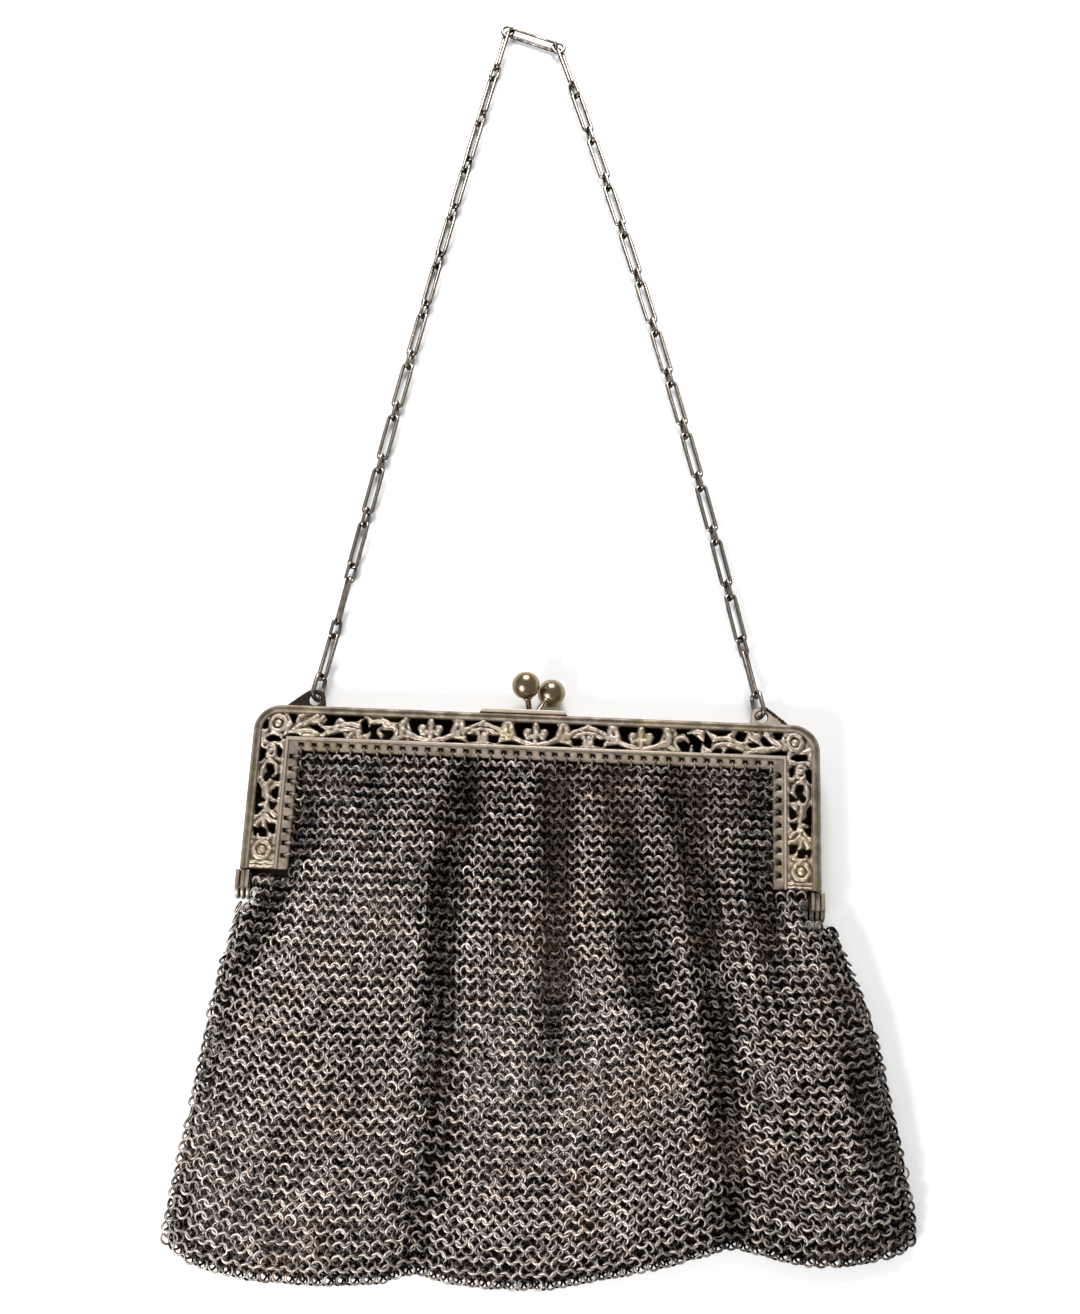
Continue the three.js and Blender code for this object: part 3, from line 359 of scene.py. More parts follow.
def smooth_line(points: Sequence[Sequence[float]], per_span: int = 5) -> List[Tuple[float, ...]]:
    """A curve through a few points of a plane or of space, as a longer list of points.

    Args:
        points: The points to pass through.
        per_span: How many steps each span is cut into.

    Returns:
        The finer points.
    """
    if len(points) < 3:
        return list(points)
    rows = np.asarray(points, float)
    padded = np.vstack([2 * rows[0] - rows[1], rows, 2 * rows[-1] - rows[-2]])
    fine = []
    for span in range(len(rows) - 1):
        p0, p1, p2, p3 = padded[span:span + 4]
        for step in range(per_span):
            t = step / per_span
            fine.append(0.5 * (2 * p1 + (p2 - p0) * t + (2 * p0 - 5 * p1 + 4 * p2 - p3) * t**2
                               + (3 * p1 - p0 - 3 * p2 + p3) * t**3))
    fine.append(rows[-1])
    return [tuple(point) for point in fine]


class MeshParts:
    """Collects the faces of many small forms, to become one mesh."""

    def __init__(self) -> None:
        """Starts with no faces."""
        self._points: List[Array] = []
        self._faces: List[Array] = []
        self._slots: List[Array] = []
        self._masks: Dict[str, List[Array]] = {"worn": [], "hollow": [], "warm": [], "tone": []}
        self._count = 0

    def add(self, points: Array, faces: Array, slot: int = 0, **masks: Array) -> None:
        """Adds one form.

        Args:
            points: Its points, one row each, in millimetres.
            faces: Its faces of three or four corners, one row each, with -1 for a missing fourth.
            slot: Which of the piece's materials it takes.
            masks: Values from 0 to 1 at each point, by the mask's name.
        """
        points = np.asarray(points, float).reshape(-1, 3)
        faces = np.asarray(faces, np.int64)
        if faces.shape[1] == 3:
            faces = np.hstack([faces, np.full((len(faces), 1), -1)])
        self._points.append(points)
        self._faces.append(np.where(faces < 0, -1, faces + self._count))
        self._slots.append(np.full(len(faces), slot, np.int32))
        for name, rows in self._masks.items():
            value = masks.get(name, 0.5 if name in ("worn", "tone") else 0.0)
            rows.append(np.broadcast_to(np.asarray(value, float), (len(points),)))
        self._count += len(points)

    def piece(self, name: str, materials: Sequence[bpy.types.Material]) -> bpy.types.Object:
        """Makes the mesh object, shaded smooth, links it to the scene and rides it on the one body.

        Args:
            name: The piece's name.
            materials: The materials that the forms' slots count in.

        Returns:
            The new object.
        """
        points = np.vstack(self._points) * MM
        faces = np.vstack(self._faces)
        is_quad = faces[:, 3] >= 0
        sizes = np.where(is_quad, 4, 3)
        corners = faces[faces >= 0]
        mesh = bpy.data.meshes.new(name)
        mesh.vertices.add(len(points))
        mesh.vertices.foreach_set("co", points.astype(np.float32).ravel())
        mesh.loops.add(len(corners))
        mesh.loops.foreach_set("vertex_index", corners.astype(np.int32))
        mesh.polygons.add(len(faces))
        starts = np.concatenate([[0], np.cumsum(sizes)[:-1]])
        mesh.polygons.foreach_set("loop_start", starts.astype(np.int32))
        mesh.polygons.foreach_set("material_index", np.concatenate(self._slots))
        mesh.polygons.foreach_set("use_smooth", np.full(len(faces), True))
        mesh.update(calc_edges=True)
        for mask, rows in self._masks.items():
            layer = mesh.attributes.new(mask, "FLOAT", "POINT")
            layer.data.foreach_set("value", np.concatenate(rows).astype(np.float32))
        for material in materials:
            mesh.materials.append(material)
        built = bpy.data.objects.new(name, mesh)
        bpy.context.scene.collection.objects.link(built)
        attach(built, ROOT)
        return built


def grid_faces(rows: int, columns: int, close_rows: bool = False, close_columns: bool = False) -> Array:
    """The quads of a grid of points laid out row by row.

    Args:
        rows: How many rows of points there are.
        columns: How many points each row has.
        close_rows: Whether the last row joins the first.
        close_columns: Whether each row's last point joins its first.

    Returns:
        The quads, facing along the cross product of the column and row directions.
    """
    row = np.arange(rows if close_rows else rows - 1)[:, None]
    column = np.arange(columns if close_columns else columns - 1)[None, :]
    here = row * columns + column
    right = row * columns + (column + 1) % columns
    below = ((row + 1) % rows) * columns + column
    across = ((row + 1) % rows) * columns + (column + 1) % columns
    return np.stack([here, right, across, below], -1).reshape(-1, 4)


def wire(parts: MeshParts, line: Array, radius: float, sides: int, closed: bool, painted_crest_light: float = 0.0,
         **masks: float) -> None:
    """Adds a round wire that follows a line of points.

    Args:
        parts: The mesh that it joins.
        line: The line's points, one row each.
        radius: The wire's radius.
        sides: How many sides its section has.
        closed: Whether the wire is a closed loop.
        painted_crest_light: How much painted light its upper side gets and painted shade its flanks, through
            the worn and hollow masks.
        masks: Its masks' values.
    """
    line = np.asarray(line, float)
    if closed:
        along = unit(np.roll(line, -1, 0) - np.roll(line, 1, 0))
    else:
        along = unit(np.gradient(line, axis=0))
    spread = line - line.mean(0)
    normal = np.linalg.svd(spread, full_matrices=False)[2][-1]
    if abs(np.dot(normal, along[0])) > 0.9:
        normal = np.array([1.0, 0.0, 0.0])
    across = unit(np.cross(along, normal))
    up = np.cross(across, along)
    turn = np.arange(sides) / sides * 2 * math.pi
    section = across[:, None] * np.cos(turn)[None, :, None] + up[:, None] * np.sin(turn)[None, :, None]
    points = line[:, None] + radius * section
    faces = grid_faces(len(line), sides, close_rows=closed, close_columns=True)[:, ::-1]
    # Painted light on the wire's upper side and painted shade on its flanks.
    shade = painted_crest_light * (0.6 - section[..., 2].ravel())
    shaded = {**masks, "worn": masks.get("worn", 0.5) - shade, "hollow": masks.get("hollow", 0.0) + shade}
    parts.add(points, faces, **shaded)
    if not closed:
        for ring, flip in ((points[0], False), (points[-1], True)):
            cap = np.vstack([ring, ring.mean(0)])
            fan = np.stack([np.arange(sides), (np.arange(sides) + 1) % sides, np.full(sides, sides)], -1)
            parts.add(cap, fan[:, ::-1] if flip else fan, **masks)


def turned(parts: MeshParts, centre: Sequence[float], axis: Sequence[float], profile: Sequence[Point],
           sides: int, **masks: object) -> None:
    """Adds a form turned about an axis.

    Args:
        parts: The mesh that it joins.
        centre: Where the profile's zero height lies.
        axis: The axis it is turned about.
        profile: Its points as height along the axis and radius.
        sides: How many sides it has.
        masks: Its masks' values.
    """
    axis = unit(np.asarray(axis, float))
    helper = np.array([1.0, 0.0, 0.0]) if abs(axis[0]) < 0.8 else np.array([0.0, 1.0, 0.0])
    first = unit(np.cross(axis, helper))
    second = np.cross(axis, first)
    turn = np.arange(sides) / sides * 2 * math.pi
    around = first[None] * np.cos(turn)[:, None] + second[None] * np.sin(turn)[:, None]
    height, radius = np.asarray(profile, float).T
    points = (np.asarray(centre, float)[None, None] + axis[None, None] * height[:, None, None]
              + around[None] * radius[:, None, None])
    faces = grid_faces(len(profile), sides, close_columns=True)
    if radius[0] < TINY:
        faces[:sides] = np.insert(faces[:sides, 2:], [0, 2], [0, -1], axis=1)
    if radius[-1] < TINY:
        faces[-sides:, 2:] = [faces[-1, 3], -1]
    used = np.unique(faces[faces >= 0])
    faces = np.where(faces < 0, -1, np.searchsorted(used, faces))
    masks = {
        name: np.repeat(value, sides)[used] if np.ndim(value) else value
        for name, value in masks.items()
    }
    parts.add(points.reshape(-1, 3)[used], faces, **masks)


def slab(parts: MeshParts, outline: Sequence[Point], low: float, high: float, bevel: float, slot: int = 0,
         **masks: float) -> None:
    """Adds a flat plate with softened top and bottom edges.

    Args:
        parts: The mesh that it joins.
        outline: Its corners, anticlockwise seen from above.
        low: The height of its underside.
        high: The height of its top.
        bevel: How wide its softened edges are.
        slot: Which material it takes.
        masks: Its masks' values.
    """
    corners = np.asarray(outline, float)
    before = unit(corners - np.roll(corners, 1, 0))
    after = unit(np.roll(corners, -1, 0) - corners)
    inwards = np.stack([-(before + after)[:, 1], (before + after)[:, 0]], -1)
    inwards = unit(inwards) / np.maximum(np.sum(unit(before + after) * after, -1, keepdims=True), 0.4)
    levels = [(bevel, low), (0.3 * bevel, low + 0.3 * bevel), (0, low + bevel), (0, high - bevel),
              (0.3 * bevel, high - 0.3 * bevel), (bevel, high)]
    rows = [np.column_stack([corners + inset * inwards, np.full(len(corners), z)]) for inset, z in levels]
    centre = corners.mean(0)
    points = np.vstack([*rows, [[*centre, low]], [[*centre, high]]])
    count = len(corners)
    last = (len(levels) - 1) * count
    parts.add(points, grid_faces(len(levels), count, close_columns=True), slot, **masks)
    around = np.arange(count)
    following = (around + 1) % count
    lower = np.stack([following, around, np.full(count, len(levels) * count)], -1)
    upper = np.stack([last + around, last + following, np.full(count, len(levels) * count + 1)], -1)
    parts.add(points, np.vstack([lower, upper]), slot, **masks)


# Finishes


class NodeGroup:
    """A shader node group under construction, with its named sockets."""

    def __init__(self, name: str, inputs: Dict[str, object], outputs: Dict[str, str]) -> None:
        """Makes the group and its sockets.

        Args:
            name: The group's name.
            inputs: Each input's default value: a number, or a colour of four numbers.
            outputs: Each output's kind, "Color" or "Float".
        """
        self.tree = bpy.data.node_groups.new(name, "ShaderNodeTree")
        for key, value in inputs.items():
            kind = "NodeSocketColor" if isinstance(value, tuple) else "NodeSocketFloat"
            socket = self.tree.interface.new_socket(key, in_out="INPUT", socket_type=kind)
            socket.default_value = value
        for key, kind in outputs.items():
            self.tree.interface.new_socket(key, in_out="OUTPUT", socket_type=f"NodeSocket{kind}")
        self.source = self.tree.nodes.new("NodeGroupInput")
        self.result = self.tree.nodes.new("NodeGroupOutput")

    def node(self, kind: str, values: Dict[object, object] = {}, **settings: object) -> bpy.types.Node:
        """Adds a node to the group.

        Args:
            kind: The node's type.
            values: What each input gets: another socket, or a plain value.
            settings: The node's own settings.

        Returns:
            The node.
        """
        return add_node(self.tree, kind, values, **settings)

    def put(self, key: str, socket: bpy.types.NodeSocket) -> None:
        """Links a socket to one of the group's outputs.

        Args:
            key: The output's name.
            socket: The socket that it gets its value from.
        """
        self.tree.links.new(socket, self.result.inputs[key])


def add_node(tree: bpy.types.NodeTree, kind: str, values: Dict[object, object] = {},
             **settings: object) -> bpy.types.Node:
    """Adds a node to a tree and fills in its inputs.

    Args:
        tree: The tree.
        kind: The node's type.
        values: What each input gets, by name or number: another socket, or a plain value.
        settings: The node's own settings.

    Returns:
        The node.
    """
    made = tree.nodes.new(kind)
    for key, value in settings.items():
        setattr(made, key, value)
    for key, value in values.items():
        if isinstance(value, bpy.types.NodeSocket):
            tree.links.new(value, made.inputs[key])
        else:
            made.inputs[key].default_value = value
    return made


def ramp(node: bpy.types.Node, *stops: Tuple[float, float]) -> bpy.types.Node:
    """Sets the grey stops of a colour ramp.

    Args:
        node: The colour ramp node.
        stops: Each stop's place and brightness.

    Returns:
        The same node.
    """
    elements = node.color_ramp.elements
    while len(elements) < len(stops):
        elements.new(0.5)
    for element, (place, value) in zip(elements, stops):
        element.position = place
        element.color = (value, value, value, 1)
    return node


class Effects:
    """The shared surface effects, each a node group that is built once."""

    def __init__(self) -> None:
        """Builds the groups."""
        self.tarnish = self._tarnish_and_painted_shade()
        self.grain = self._grain()
        self.warmth = self._warmth()

    @staticmethod
    def _tarnish_and_painted_shade() -> bpy.types.NodeTree:
        """Cloudy tarnish, heavier in the hollows and rubbed off the high places, with painted shade that
        blackens the deepest hollows.
        """
        grey = (0.5, 0.5, 0.5, 1.0)
        group = NodeGroup("tarnish", {"Clean": grey, "Tarnish": grey, "Scale": 300.0, "Amount": 0.5,
                                      "Hollow": 0.0, "Worn": 0.5}, {"Color": "Color", "Mask": "Float"})
        source = group.source.outputs
        place = group.node("ShaderNodeTexCoord").outputs["Object"]
        cloud = group.node("ShaderNodeTexNoise", {"Vector": place, "Scale": source["Scale"], "Detail": 5.0,
                                                  "Roughness": 0.6})
        soft = ramp(group.node("ShaderNodeValToRGB", {"Fac": cloud.outputs["Fac"]}), (0.32, 0), (0.7, 1))
        scaled = group.node("ShaderNodeMath", {0: soft.outputs["Color"], 1: source["Amount"]},
                            operation="MULTIPLY")
        # The hollow and worn masks carry painted shade and painted light from some pieces, as well as real
        # tarnish and wear.
        added = group.node("ShaderNodeMath", {0: scaled.outputs[0], 1: source["Hollow"]}, operation="ADD")
        rubbed = group.node("ShaderNodeMath", {0: source["Worn"], 1: 0.6}, operation="MULTIPLY")
        left = group.node("ShaderNodeMath", {0: added.outputs[0], 1: rubbed.outputs[0]}, operation="SUBTRACT",
                          use_clamp=True)
        mixed = group.node("ShaderNodeMix", {0: left.outputs[0], 6: source["Clean"], 7: source["Tarnish"]},
                           data_type="RGBA")
        # Painted shade: the colour falls to 0.12 of itself as the hollow mask runs from 0.5 to 1.
        painted_shade = group.node("ShaderNodeMapRange", {"Value": source["Hollow"], "From Min": 0.5, "From Max": 1.0,
                                                 "To Min": 1.0, "To Max": 0.12})
        painted_shade_colour = group.node("ShaderNodeVectorMath", {0: mixed.outputs[2], 1: painted_shade.outputs[0]},
                            operation="MULTIPLY")
        group.put("Color", painted_shade_colour.outputs[0])
        group.put("Mask", left.outputs[0])
        return group.tree

    @staticmethod
    def _grain() -> bpy.types.NodeTree:
        """The fine pitting of cast and handled metal, as a height."""
        group = NodeGroup("cast_grain", {"Scale": 900.0, "Pits": 0.5}, {"Height": "Float"})
        source = group.source.outputs
        place = group.node("ShaderNodeTexCoord").outputs["Object"]
        fine = group.node("ShaderNodeTexNoise", {"Vector": place, "Scale": source["Scale"], "Detail": 3.0})
        cells = group.node("ShaderNodeTexVoronoi", {"Vector": place, "Scale": source["Scale"]})
        pit = ramp(group.node("ShaderNodeValToRGB", {"Fac": cells.outputs["Distance"]}), (0.0, 0), (0.3, 1))
        depth = group.node("ShaderNodeMath", {0: pit.outputs["Color"], 1: source["Pits"]},
                           operation="MULTIPLY")
        total = group.node("ShaderNodeMath", {0: fine.outputs["Fac"], 1: depth.outputs[0]}, operation="ADD")
        group.put("Height", total.outputs[0])
        return group.tree

    @staticmethod
    def _warmth() -> bpy.types.NodeTree:
        """Brassy patches where the plating has worn through."""
        brass = (0.5, 0.4, 0.2, 1.0)
        group = NodeGroup("brass_patches", {"Color": (0.5, 0.5, 0.5, 1.0), "Brass": brass, "Warm": 0.0,
                                            "Scale": 60.0, "Spread": 0.3}, {"Color": "Color"})
        source = group.source.outputs
        place = group.node("ShaderNodeTexCoord").outputs["Object"]
        cloud = group.node("ShaderNodeTexNoise", {"Vector": place, "Scale": source["Scale"], "Detail": 3.0})
        soft = ramp(group.node("ShaderNodeValToRGB", {"Fac": cloud.outputs["Fac"]}), (0.5, 0), (0.72, 1))
        spread = group.node("ShaderNodeMath", {0: soft.outputs["Color"], 1: source["Spread"]},
                            operation="MULTIPLY")
        total = group.node("ShaderNodeMath", {0: spread.outputs[0], 1: source["Warm"]}, operation="ADD",
                           use_clamp=True)
        mixed = group.node("ShaderNodeMix", {0: total.outputs[0], 6: source["Color"], 7: source["Brass"]},
                           data_type="RGBA")
        group.put("Color", mixed.outputs[2])
        return group.tree


@dataclass(frozen=True)
class MetalFinish:
    """A tarnished plated metal."""

    name: str
    clean: Colour
    tarnish: Colour
    brass: Colour
    smooth: float
    rough: float
    tarnish_scale: float = 300.0
    tarnish_amount: float = 0.6
    brass_spread: float = 0.3
    grain_scale: float = 1500.0
    grain_height: float = 0.02
    tone_range: float = 0.3

    def material(self, effects: Effects) -> bpy.types.Material:
        """Builds the finish.

        Args:
            effects: The shared node groups.

        Returns:
            The material.
        """
        made = bpy.data.materials.new(self.name)
        made.use_nodes = True
        tree = made.node_tree
        tree.nodes.clear()
        masks = {
            mask: add_node(tree, "ShaderNodeAttribute", attribute_name=mask).outputs["Fac"]
            for mask in ("worn", "hollow", "warm", "tone")
        }
        tarnish = add_node(tree, "ShaderNodeGroup", node_tree=effects.tarnish)
        tarnish.inputs["Clean"].default_value = (*self.clean, 1)
        tarnish.inputs["Tarnish"].default_value = (*self.tarnish, 1)
        tarnish.inputs["Scale"].default_value = self.tarnish_scale
        tarnish.inputs["Amount"].default_value = self.tarnish_amount
        tree.links.new(masks["hollow"], tarnish.inputs["Hollow"])
        tree.links.new(masks["worn"], tarnish.inputs["Worn"])
        warmth = add_node(tree, "ShaderNodeGroup", node_tree=effects.warmth)
        tree.links.new(tarnish.outputs["Color"], warmth.inputs["Color"])
        warmth.inputs["Brass"].default_value = (*self.brass, 1)
        warmth.inputs["Spread"].default_value = self.brass_spread
        tree.links.new(masks["warm"], warmth.inputs["Warm"])
        tone = add_node(tree, "ShaderNodeMapRange", {"Value": masks["tone"], "To Min": 1 - self.tone_range,
                                                     "To Max": 1 + self.tone_range})
        shade = add_node(tree, "ShaderNodeVectorMath", {0: warmth.outputs["Color"], 1: tone.outputs[0]},
                         operation="MULTIPLY")
        rough = add_node(tree, "ShaderNodeMapRange", {"Value": tarnish.outputs["Mask"], "To Min": self.smooth,
                                                      "To Max": self.rough})
        grain = add_node(tree, "ShaderNodeGroup", node_tree=effects.grain)
        grain.inputs["Scale"].default_value = self.grain_scale
        bump = add_node(tree, "ShaderNodeBump", {"Height": grain.outputs["Height"], "Strength": 0.6,
                                                 "Distance": self.grain_height * MM})
        shader = add_node(tree, "ShaderNodeBsdfPrincipled", {
            "Base Color": shade.outputs[0], "Roughness": rough.outputs[0], "Normal": bump.outputs["Normal"],
            "Metallic": 1.0})
        add_node(tree, "ShaderNodeOutputMaterial", {"Surface": shader.outputs["BSDF"]})
        return made


FRAME_FINISH = MetalFinish(
    "frame_plate", clean=(0.41, 0.345, 0.285), tarnish=(0.11, 0.084, 0.063), brass=(0.36, 0.29, 0.15),
    smooth=0.55, rough=0.72, tarnish_scale=260.0, tarnish_amount=0.7, brass_spread=0.22,
    grain_scale=1800.0, grain_height=0.05, tone_range=0.0)
CLASP_FINISH = MetalFinish(
    "clasp_plate", clean=(0.29, 0.235, 0.17), tarnish=(0.05, 0.036, 0.026), brass=(0.26, 0.19, 0.1),
    smooth=0.25, rough=0.44, tarnish_scale=260.0, tarnish_amount=0.8, brass_spread=0.5,
    grain_height=0.012, tone_range=0.0)
CHAIN_FINISH = MetalFinish(
    "chain_plate", clean=(0.33, 0.285, 0.24), tarnish=(0.016, 0.012, 0.01), brass=(0.26, 0.17, 0.11),
    smooth=0.24, rough=0.46, tarnish_scale=500.0, tarnish_amount=1.1, brass_spread=0.2, tone_range=0.2)
MESH_FINISH = MetalFinish(
    "ring_plate", clean=(0.39, 0.34, 0.3), tarnish=(0.058, 0.046, 0.039), brass=(0.34, 0.235, 0.17),
    smooth=0.5, rough=0.65, tarnish_scale=90.0, tarnish_amount=0.6, brass_spread=0.3, tone_range=0.5)


# The frame


@dataclass
class FrameFront:
    """The front half of the hinged frame: rim, skirt, pierced floral band, ridge and the strip of holes."""

    half_width: float = 76.2
    top_y: float = 6.4
    band: float = 12.8
    leg_length: float = 45.4
    corner_radius: float = 7.5
    thickness: float = 11.0
    half_gap: float = 0.3
    skirt_wall: float = 1.0
    plate: float = 0.9
    ridge_depth: float = 9.5
    ridge_half_width: float = 0.55
    relief: float = 0.7
    strand_spread: float = 1.2
    gap_spread: float = 0.22
    lump: float = 0.11
    hole_size: float = 1.15
    hole_depth: float = 11.1
    hole_pitch: float = 3.4
    top_holes: int = 38
    leg_holes: int = 9
    cell: float = 0.28
    warm_spots: List[Tuple[float, float, float, float]] = field(default_factory=lambda: [
        (-8, 0, 3.0, 0.4), (7, 0, 3.0, 0.35), (28, 1, 3.0, 0.3), (70.5, -30, 8.0, 0.4), (76, -22, 4.0, 0.3),
        (-70.8, -34, 3.0, 0.25), (-57, -5, 4.0, 0.25), (-20, -3, 3.0, 0.25)])

    @property
    def leg_y(self) -> float:
        """Where the legs end."""
        return self.top_y - self.leg_length

    @property
    def plate_top(self) -> float:
        """The height of the plate's own face, below the relief."""
        return self.thickness - self.relief

    def depth(self, x: Array, y: Array) -> Array:
        """How far places lie inwards from the frame's outer edge.

        Args:
            x: The places' x.
            y: The places' y.

        Returns:
            The depth of each place.
        """
        over_x = np.abs(x) - (self.half_width - self.corner_radius)
        over_y = y - (self.top_y - self.corner_radius)
        corner = self.corner_radius - np.hypot(over_x, over_y)
        straight = np.minimum(self.half_width - np.abs(x), self.top_y - y)
        return np.where((over_x > 0) & (over_y > 0), corner, straight)

    def gaps(self) -> List[List[Point]]:
        """The outlines of all the pierced gaps, in the purse's own frame."""
        found: List[List[Point]] = []
        for flower in (-1, 0, 1):
            for mirror in (-1, 1):
                rows = [FLOWER_GAPS["beside_berry"]]
                if flower != mirror:
                    rows = [*FLOWER_GAPS.values(), *ARCH_GAPS.values()]
                for gap in rows:
                    found.append([(FLOWER_X + flower * FLOWER_REPEAT + mirror * x, y) for x, y in gap])
        found += [*LEFT_END_GAPS.values(), *RIGHT_END_GAPS.values()]
        for side in Side:
            for gap in LEG_GAPS.values():
                found.append([(side.value * (self.half_width - depth), y) for depth, y in gap])
        return found

    def hole_centres(self) -> List[Point]:
        """The middles of the square holes that the mesh hangs from."""
        y = self.top_y - self.hole_depth
        found = [((hole - (self.top_holes - 1) / 2) * self.hole_pitch, y) for hole in range(self.top_holes)]
        for hole in range(1, self.leg_holes + 1):
            for side in Side:
                found.append((side.value * (self.half_width - self.hole_depth), y - hole * self.hole_pitch))
        return found

    def strands(self) -> List[Strand]:
        """All the cast strands and beads, in the purse's own frame."""
        found: List[Strand] = []
        for flower in (-1, 0, 1):
            for mirror in (-1, 1):
                rows = dict(FLOWER_STRANDS)
                if flower != mirror:
                    rows.update(ARCH_STRANDS)
                else:
                    for name in ("tendril", "leaf_far", "leaf_near"):
                        rows.pop(name)
                for half_width, height, line in rows.values():
                    moved = [(FLOWER_X + flower * FLOWER_REPEAT + mirror * x, y) for x, y in line]
                    found.append((half_width, height, moved))
        found += list(END_STRANDS.values())
        for side in Side:
            for half_width, height, line in LEG_STRANDS.values():
                found.append((half_width, height, [(side.value * (self.half_width - d), y) for d, y in line]))
        return found

    def _near(self, x: Array, y: Array, points: Sequence[Point], reach: float) -> Tuple[slice, slice]:
        """The part of the grid within reach of some points.

        Args:
            x: The grid's x, one value a column.
            y: The grid's y, one value a row.
            points: The points.
            reach: How far past them the part reaches.

        Returns:
            The slices of rows and columns.
        """
        px, py = np.asarray(points, float).T
        columns = np.searchsorted(x, [px.min() - reach, px.max() + reach])
        rows = np.searchsorted(y, [py.min() - reach, py.max() + reach])
        return slice(rows[0], rows[1]), slice(columns[0], columns[1])

    def _fields(self) -> Tuple[Array, Array, Array, Array]:
        """The grid, how far each place is inside the metal, and how high the strands stand there."""
        x = np.arange(-self.half_width + 1.0, self.half_width - 0.9, self.cell)
        y = np.arange(self.leg_y - self.cell, self.top_y - 0.9, self.cell)
        gx, gy = np.meshgrid(x, y)
        square = np.minimum(self.half_width - np.abs(gx), self.top_y - gy)
        metal = np.minimum(self.depth(gx, gy) - 1.3, self.band - square)
        cut = np.full(gx.shape, 9.0)
        for gap in self.gaps():
            part = self._near(x, y, gap, 1.6)
            cut[part] = np.minimum(cut[part], polygon_distance(gx[part], gy[part], gap))
        cut = blurred(cut) - self.gap_spread
        half = self.hole_size / 2
        for hole_x, hole_y in self.hole_centres():
            part = self._near(x, y, [(hole_x - half, hole_y - half), (hole_x + half, hole_y + half)], 1.2)
            over = np.maximum(np.abs(gx[part] - hole_x), np.abs(gy[part] - hole_y)) - half
            cut[part] = np.minimum(cut[part], over)
        metal = np.minimum(np.minimum(metal, cut), gy - self.leg_y)
        raised = np.zeros(gx.shape)
        for half_width, height, line in self.strands():
            half_width *= self.strand_spread
            fine = smooth_line(line)
            part = self._near(x, y, fine, half_width + 0.1)
            away = np.full(gx[part].shape, 9.0)
            for start, end in zip(fine[:-1], fine[1:]):
                away = np.minimum(away, segment_distance(gx[part], gy[part], start, end))
            dome = height * np.sqrt(np.clip(1 - (away / half_width) ** 2, 0, 1))
            raised[part] = np.maximum(raised[part], dome)
        return gx, gy, metal, raised

    def warm(self, x: Array, y: Array) -> Array:
        """Where the plating has gone brassy.

        Args:
            x: The places' x.
            y: The places' y.

        Returns:
            A value from 0 to 1 at each place.
        """
        total = np.zeros(x.shape)
        for spot_x, spot_y, radius, strength in self.warm_spots:
            total += strength * np.exp(-((x - spot_x) ** 2 + (y - spot_y) ** 2) / radius**2)
        return np.clip(total, 0, 1)

    def _lumps(self, shape: Tuple[int, int]) -> Array:
        """The uneven lie of the cast ornament, as soft random lumps.

        Args:
            shape: The grid's shape.

        Returns:
            How high each place stands out, above or below zero.
        """
        rough = np.random.default_rng(SEED + 2).normal(0, 1, shape)
        for _ in range(5):
            rough = blurred(rough)
        return self.lump * np.clip(rough / rough.std(), -1.5, 1.5)

    def _add_plate(self, parts: MeshParts) -> None:
        """Adds the pierced plate with its relief, cut cleanly along every gap.

        Args:
            parts: The mesh that it joins.
        """
        gx, gy, metal, raised = self._fields()
        slope_y, slope_x = np.gradient(metal, self.cell)
        steep = np.maximum(np.hypot(slope_x, slope_y), 0.5)
        snap = (np.abs(metal) < 0.5 * self.cell) & (metal != 0)
        x = np.where(snap, gx - metal * slope_x / steep**2, gx)
        y = np.where(snap, gy - metal * slope_y / steep**2, gy)
        inside = np.where(snap, 0.0, metal)
        depth = self.depth(gx, gy)
        edge = np.clip(inside / 0.75, 0, 1)
        rounded = np.sqrt(np.clip(1 - (1 - edge) ** 2, 0, 1))
        ornament = np.clip((depth - 2.2) / 0.4, 0, 1) * np.clip((9.1 - depth) / 0.3, 0, 1)
        flat = self.plate_top - 0.28 * (1 - rounded)
        carved = self.plate_top - 0.55 + 0.5 * rounded + 0.8 * raised + self._lumps(gx.shape)
        z = flat + (carved - flat) * ornament
        around = z
        for _ in range(6):
            around = blurred(around)
        # Part tarnish, part painted shade: the ornament's low places take high hollow values that the tarnish
        # group blackens, its high places are rubbed clean, and the flat strip is painted darker towards the
        # edges of its holes.
        high = np.clip(0.5 + (z - around) / 0.22, 0, 1)
        worn = np.where(ornament > 0.5, 0.1 + 0.6 * high, 0.1 + 0.2 * rounded)
        hollow = np.clip(0.95 - 1.6 * high, 0, 1) * ornament + (0.4 + 0.3 * (1 - rounded)) * (1 - ornament)
        count = gx.size
        index = np.arange(count).reshape(gx.shape)
        corner = [index[:-1, :-1], index[:-1, 1:], index[1:, 1:], index[1:, :-1]]
        level = [metal[:-1, :-1], metal[:-1, 1:], metal[1:, 1:], metal[1:, :-1]]
        other = np.abs(level[0] + level[2]) < np.abs(level[1] + level[3])
        first = np.where(other[..., None], np.stack([corner[0], corner[1], corner[2]], -1),
                         np.stack([corner[0], corner[1], corner[3]], -1)).reshape(-1, 3)
        second = np.where(other[..., None], np.stack([corner[0], corner[2], corner[3]], -1),
                          np.stack([corner[1], corner[2], corner[3]], -1)).reshape(-1, 3)
        triangles = np.vstack([first, second])
        solid = inside.ravel()[triangles].sum(1) > 0.05 * self.cell
        triangles = triangles[solid]
        top = np.stack([x, y, z], -1).reshape(-1, 3)
        under = top.copy()
        under[:, 2] = self.plate_top - self.plate
        used, where = np.unique(triangles, return_inverse=True)
        triangles = where.reshape(-1, 3)
        edges = np.vstack([triangles[:, [0, 1]], triangles[:, [1, 2]], triangles[:, [2, 0]]])
        key = edges[:, 0] * count + edges[:, 1]
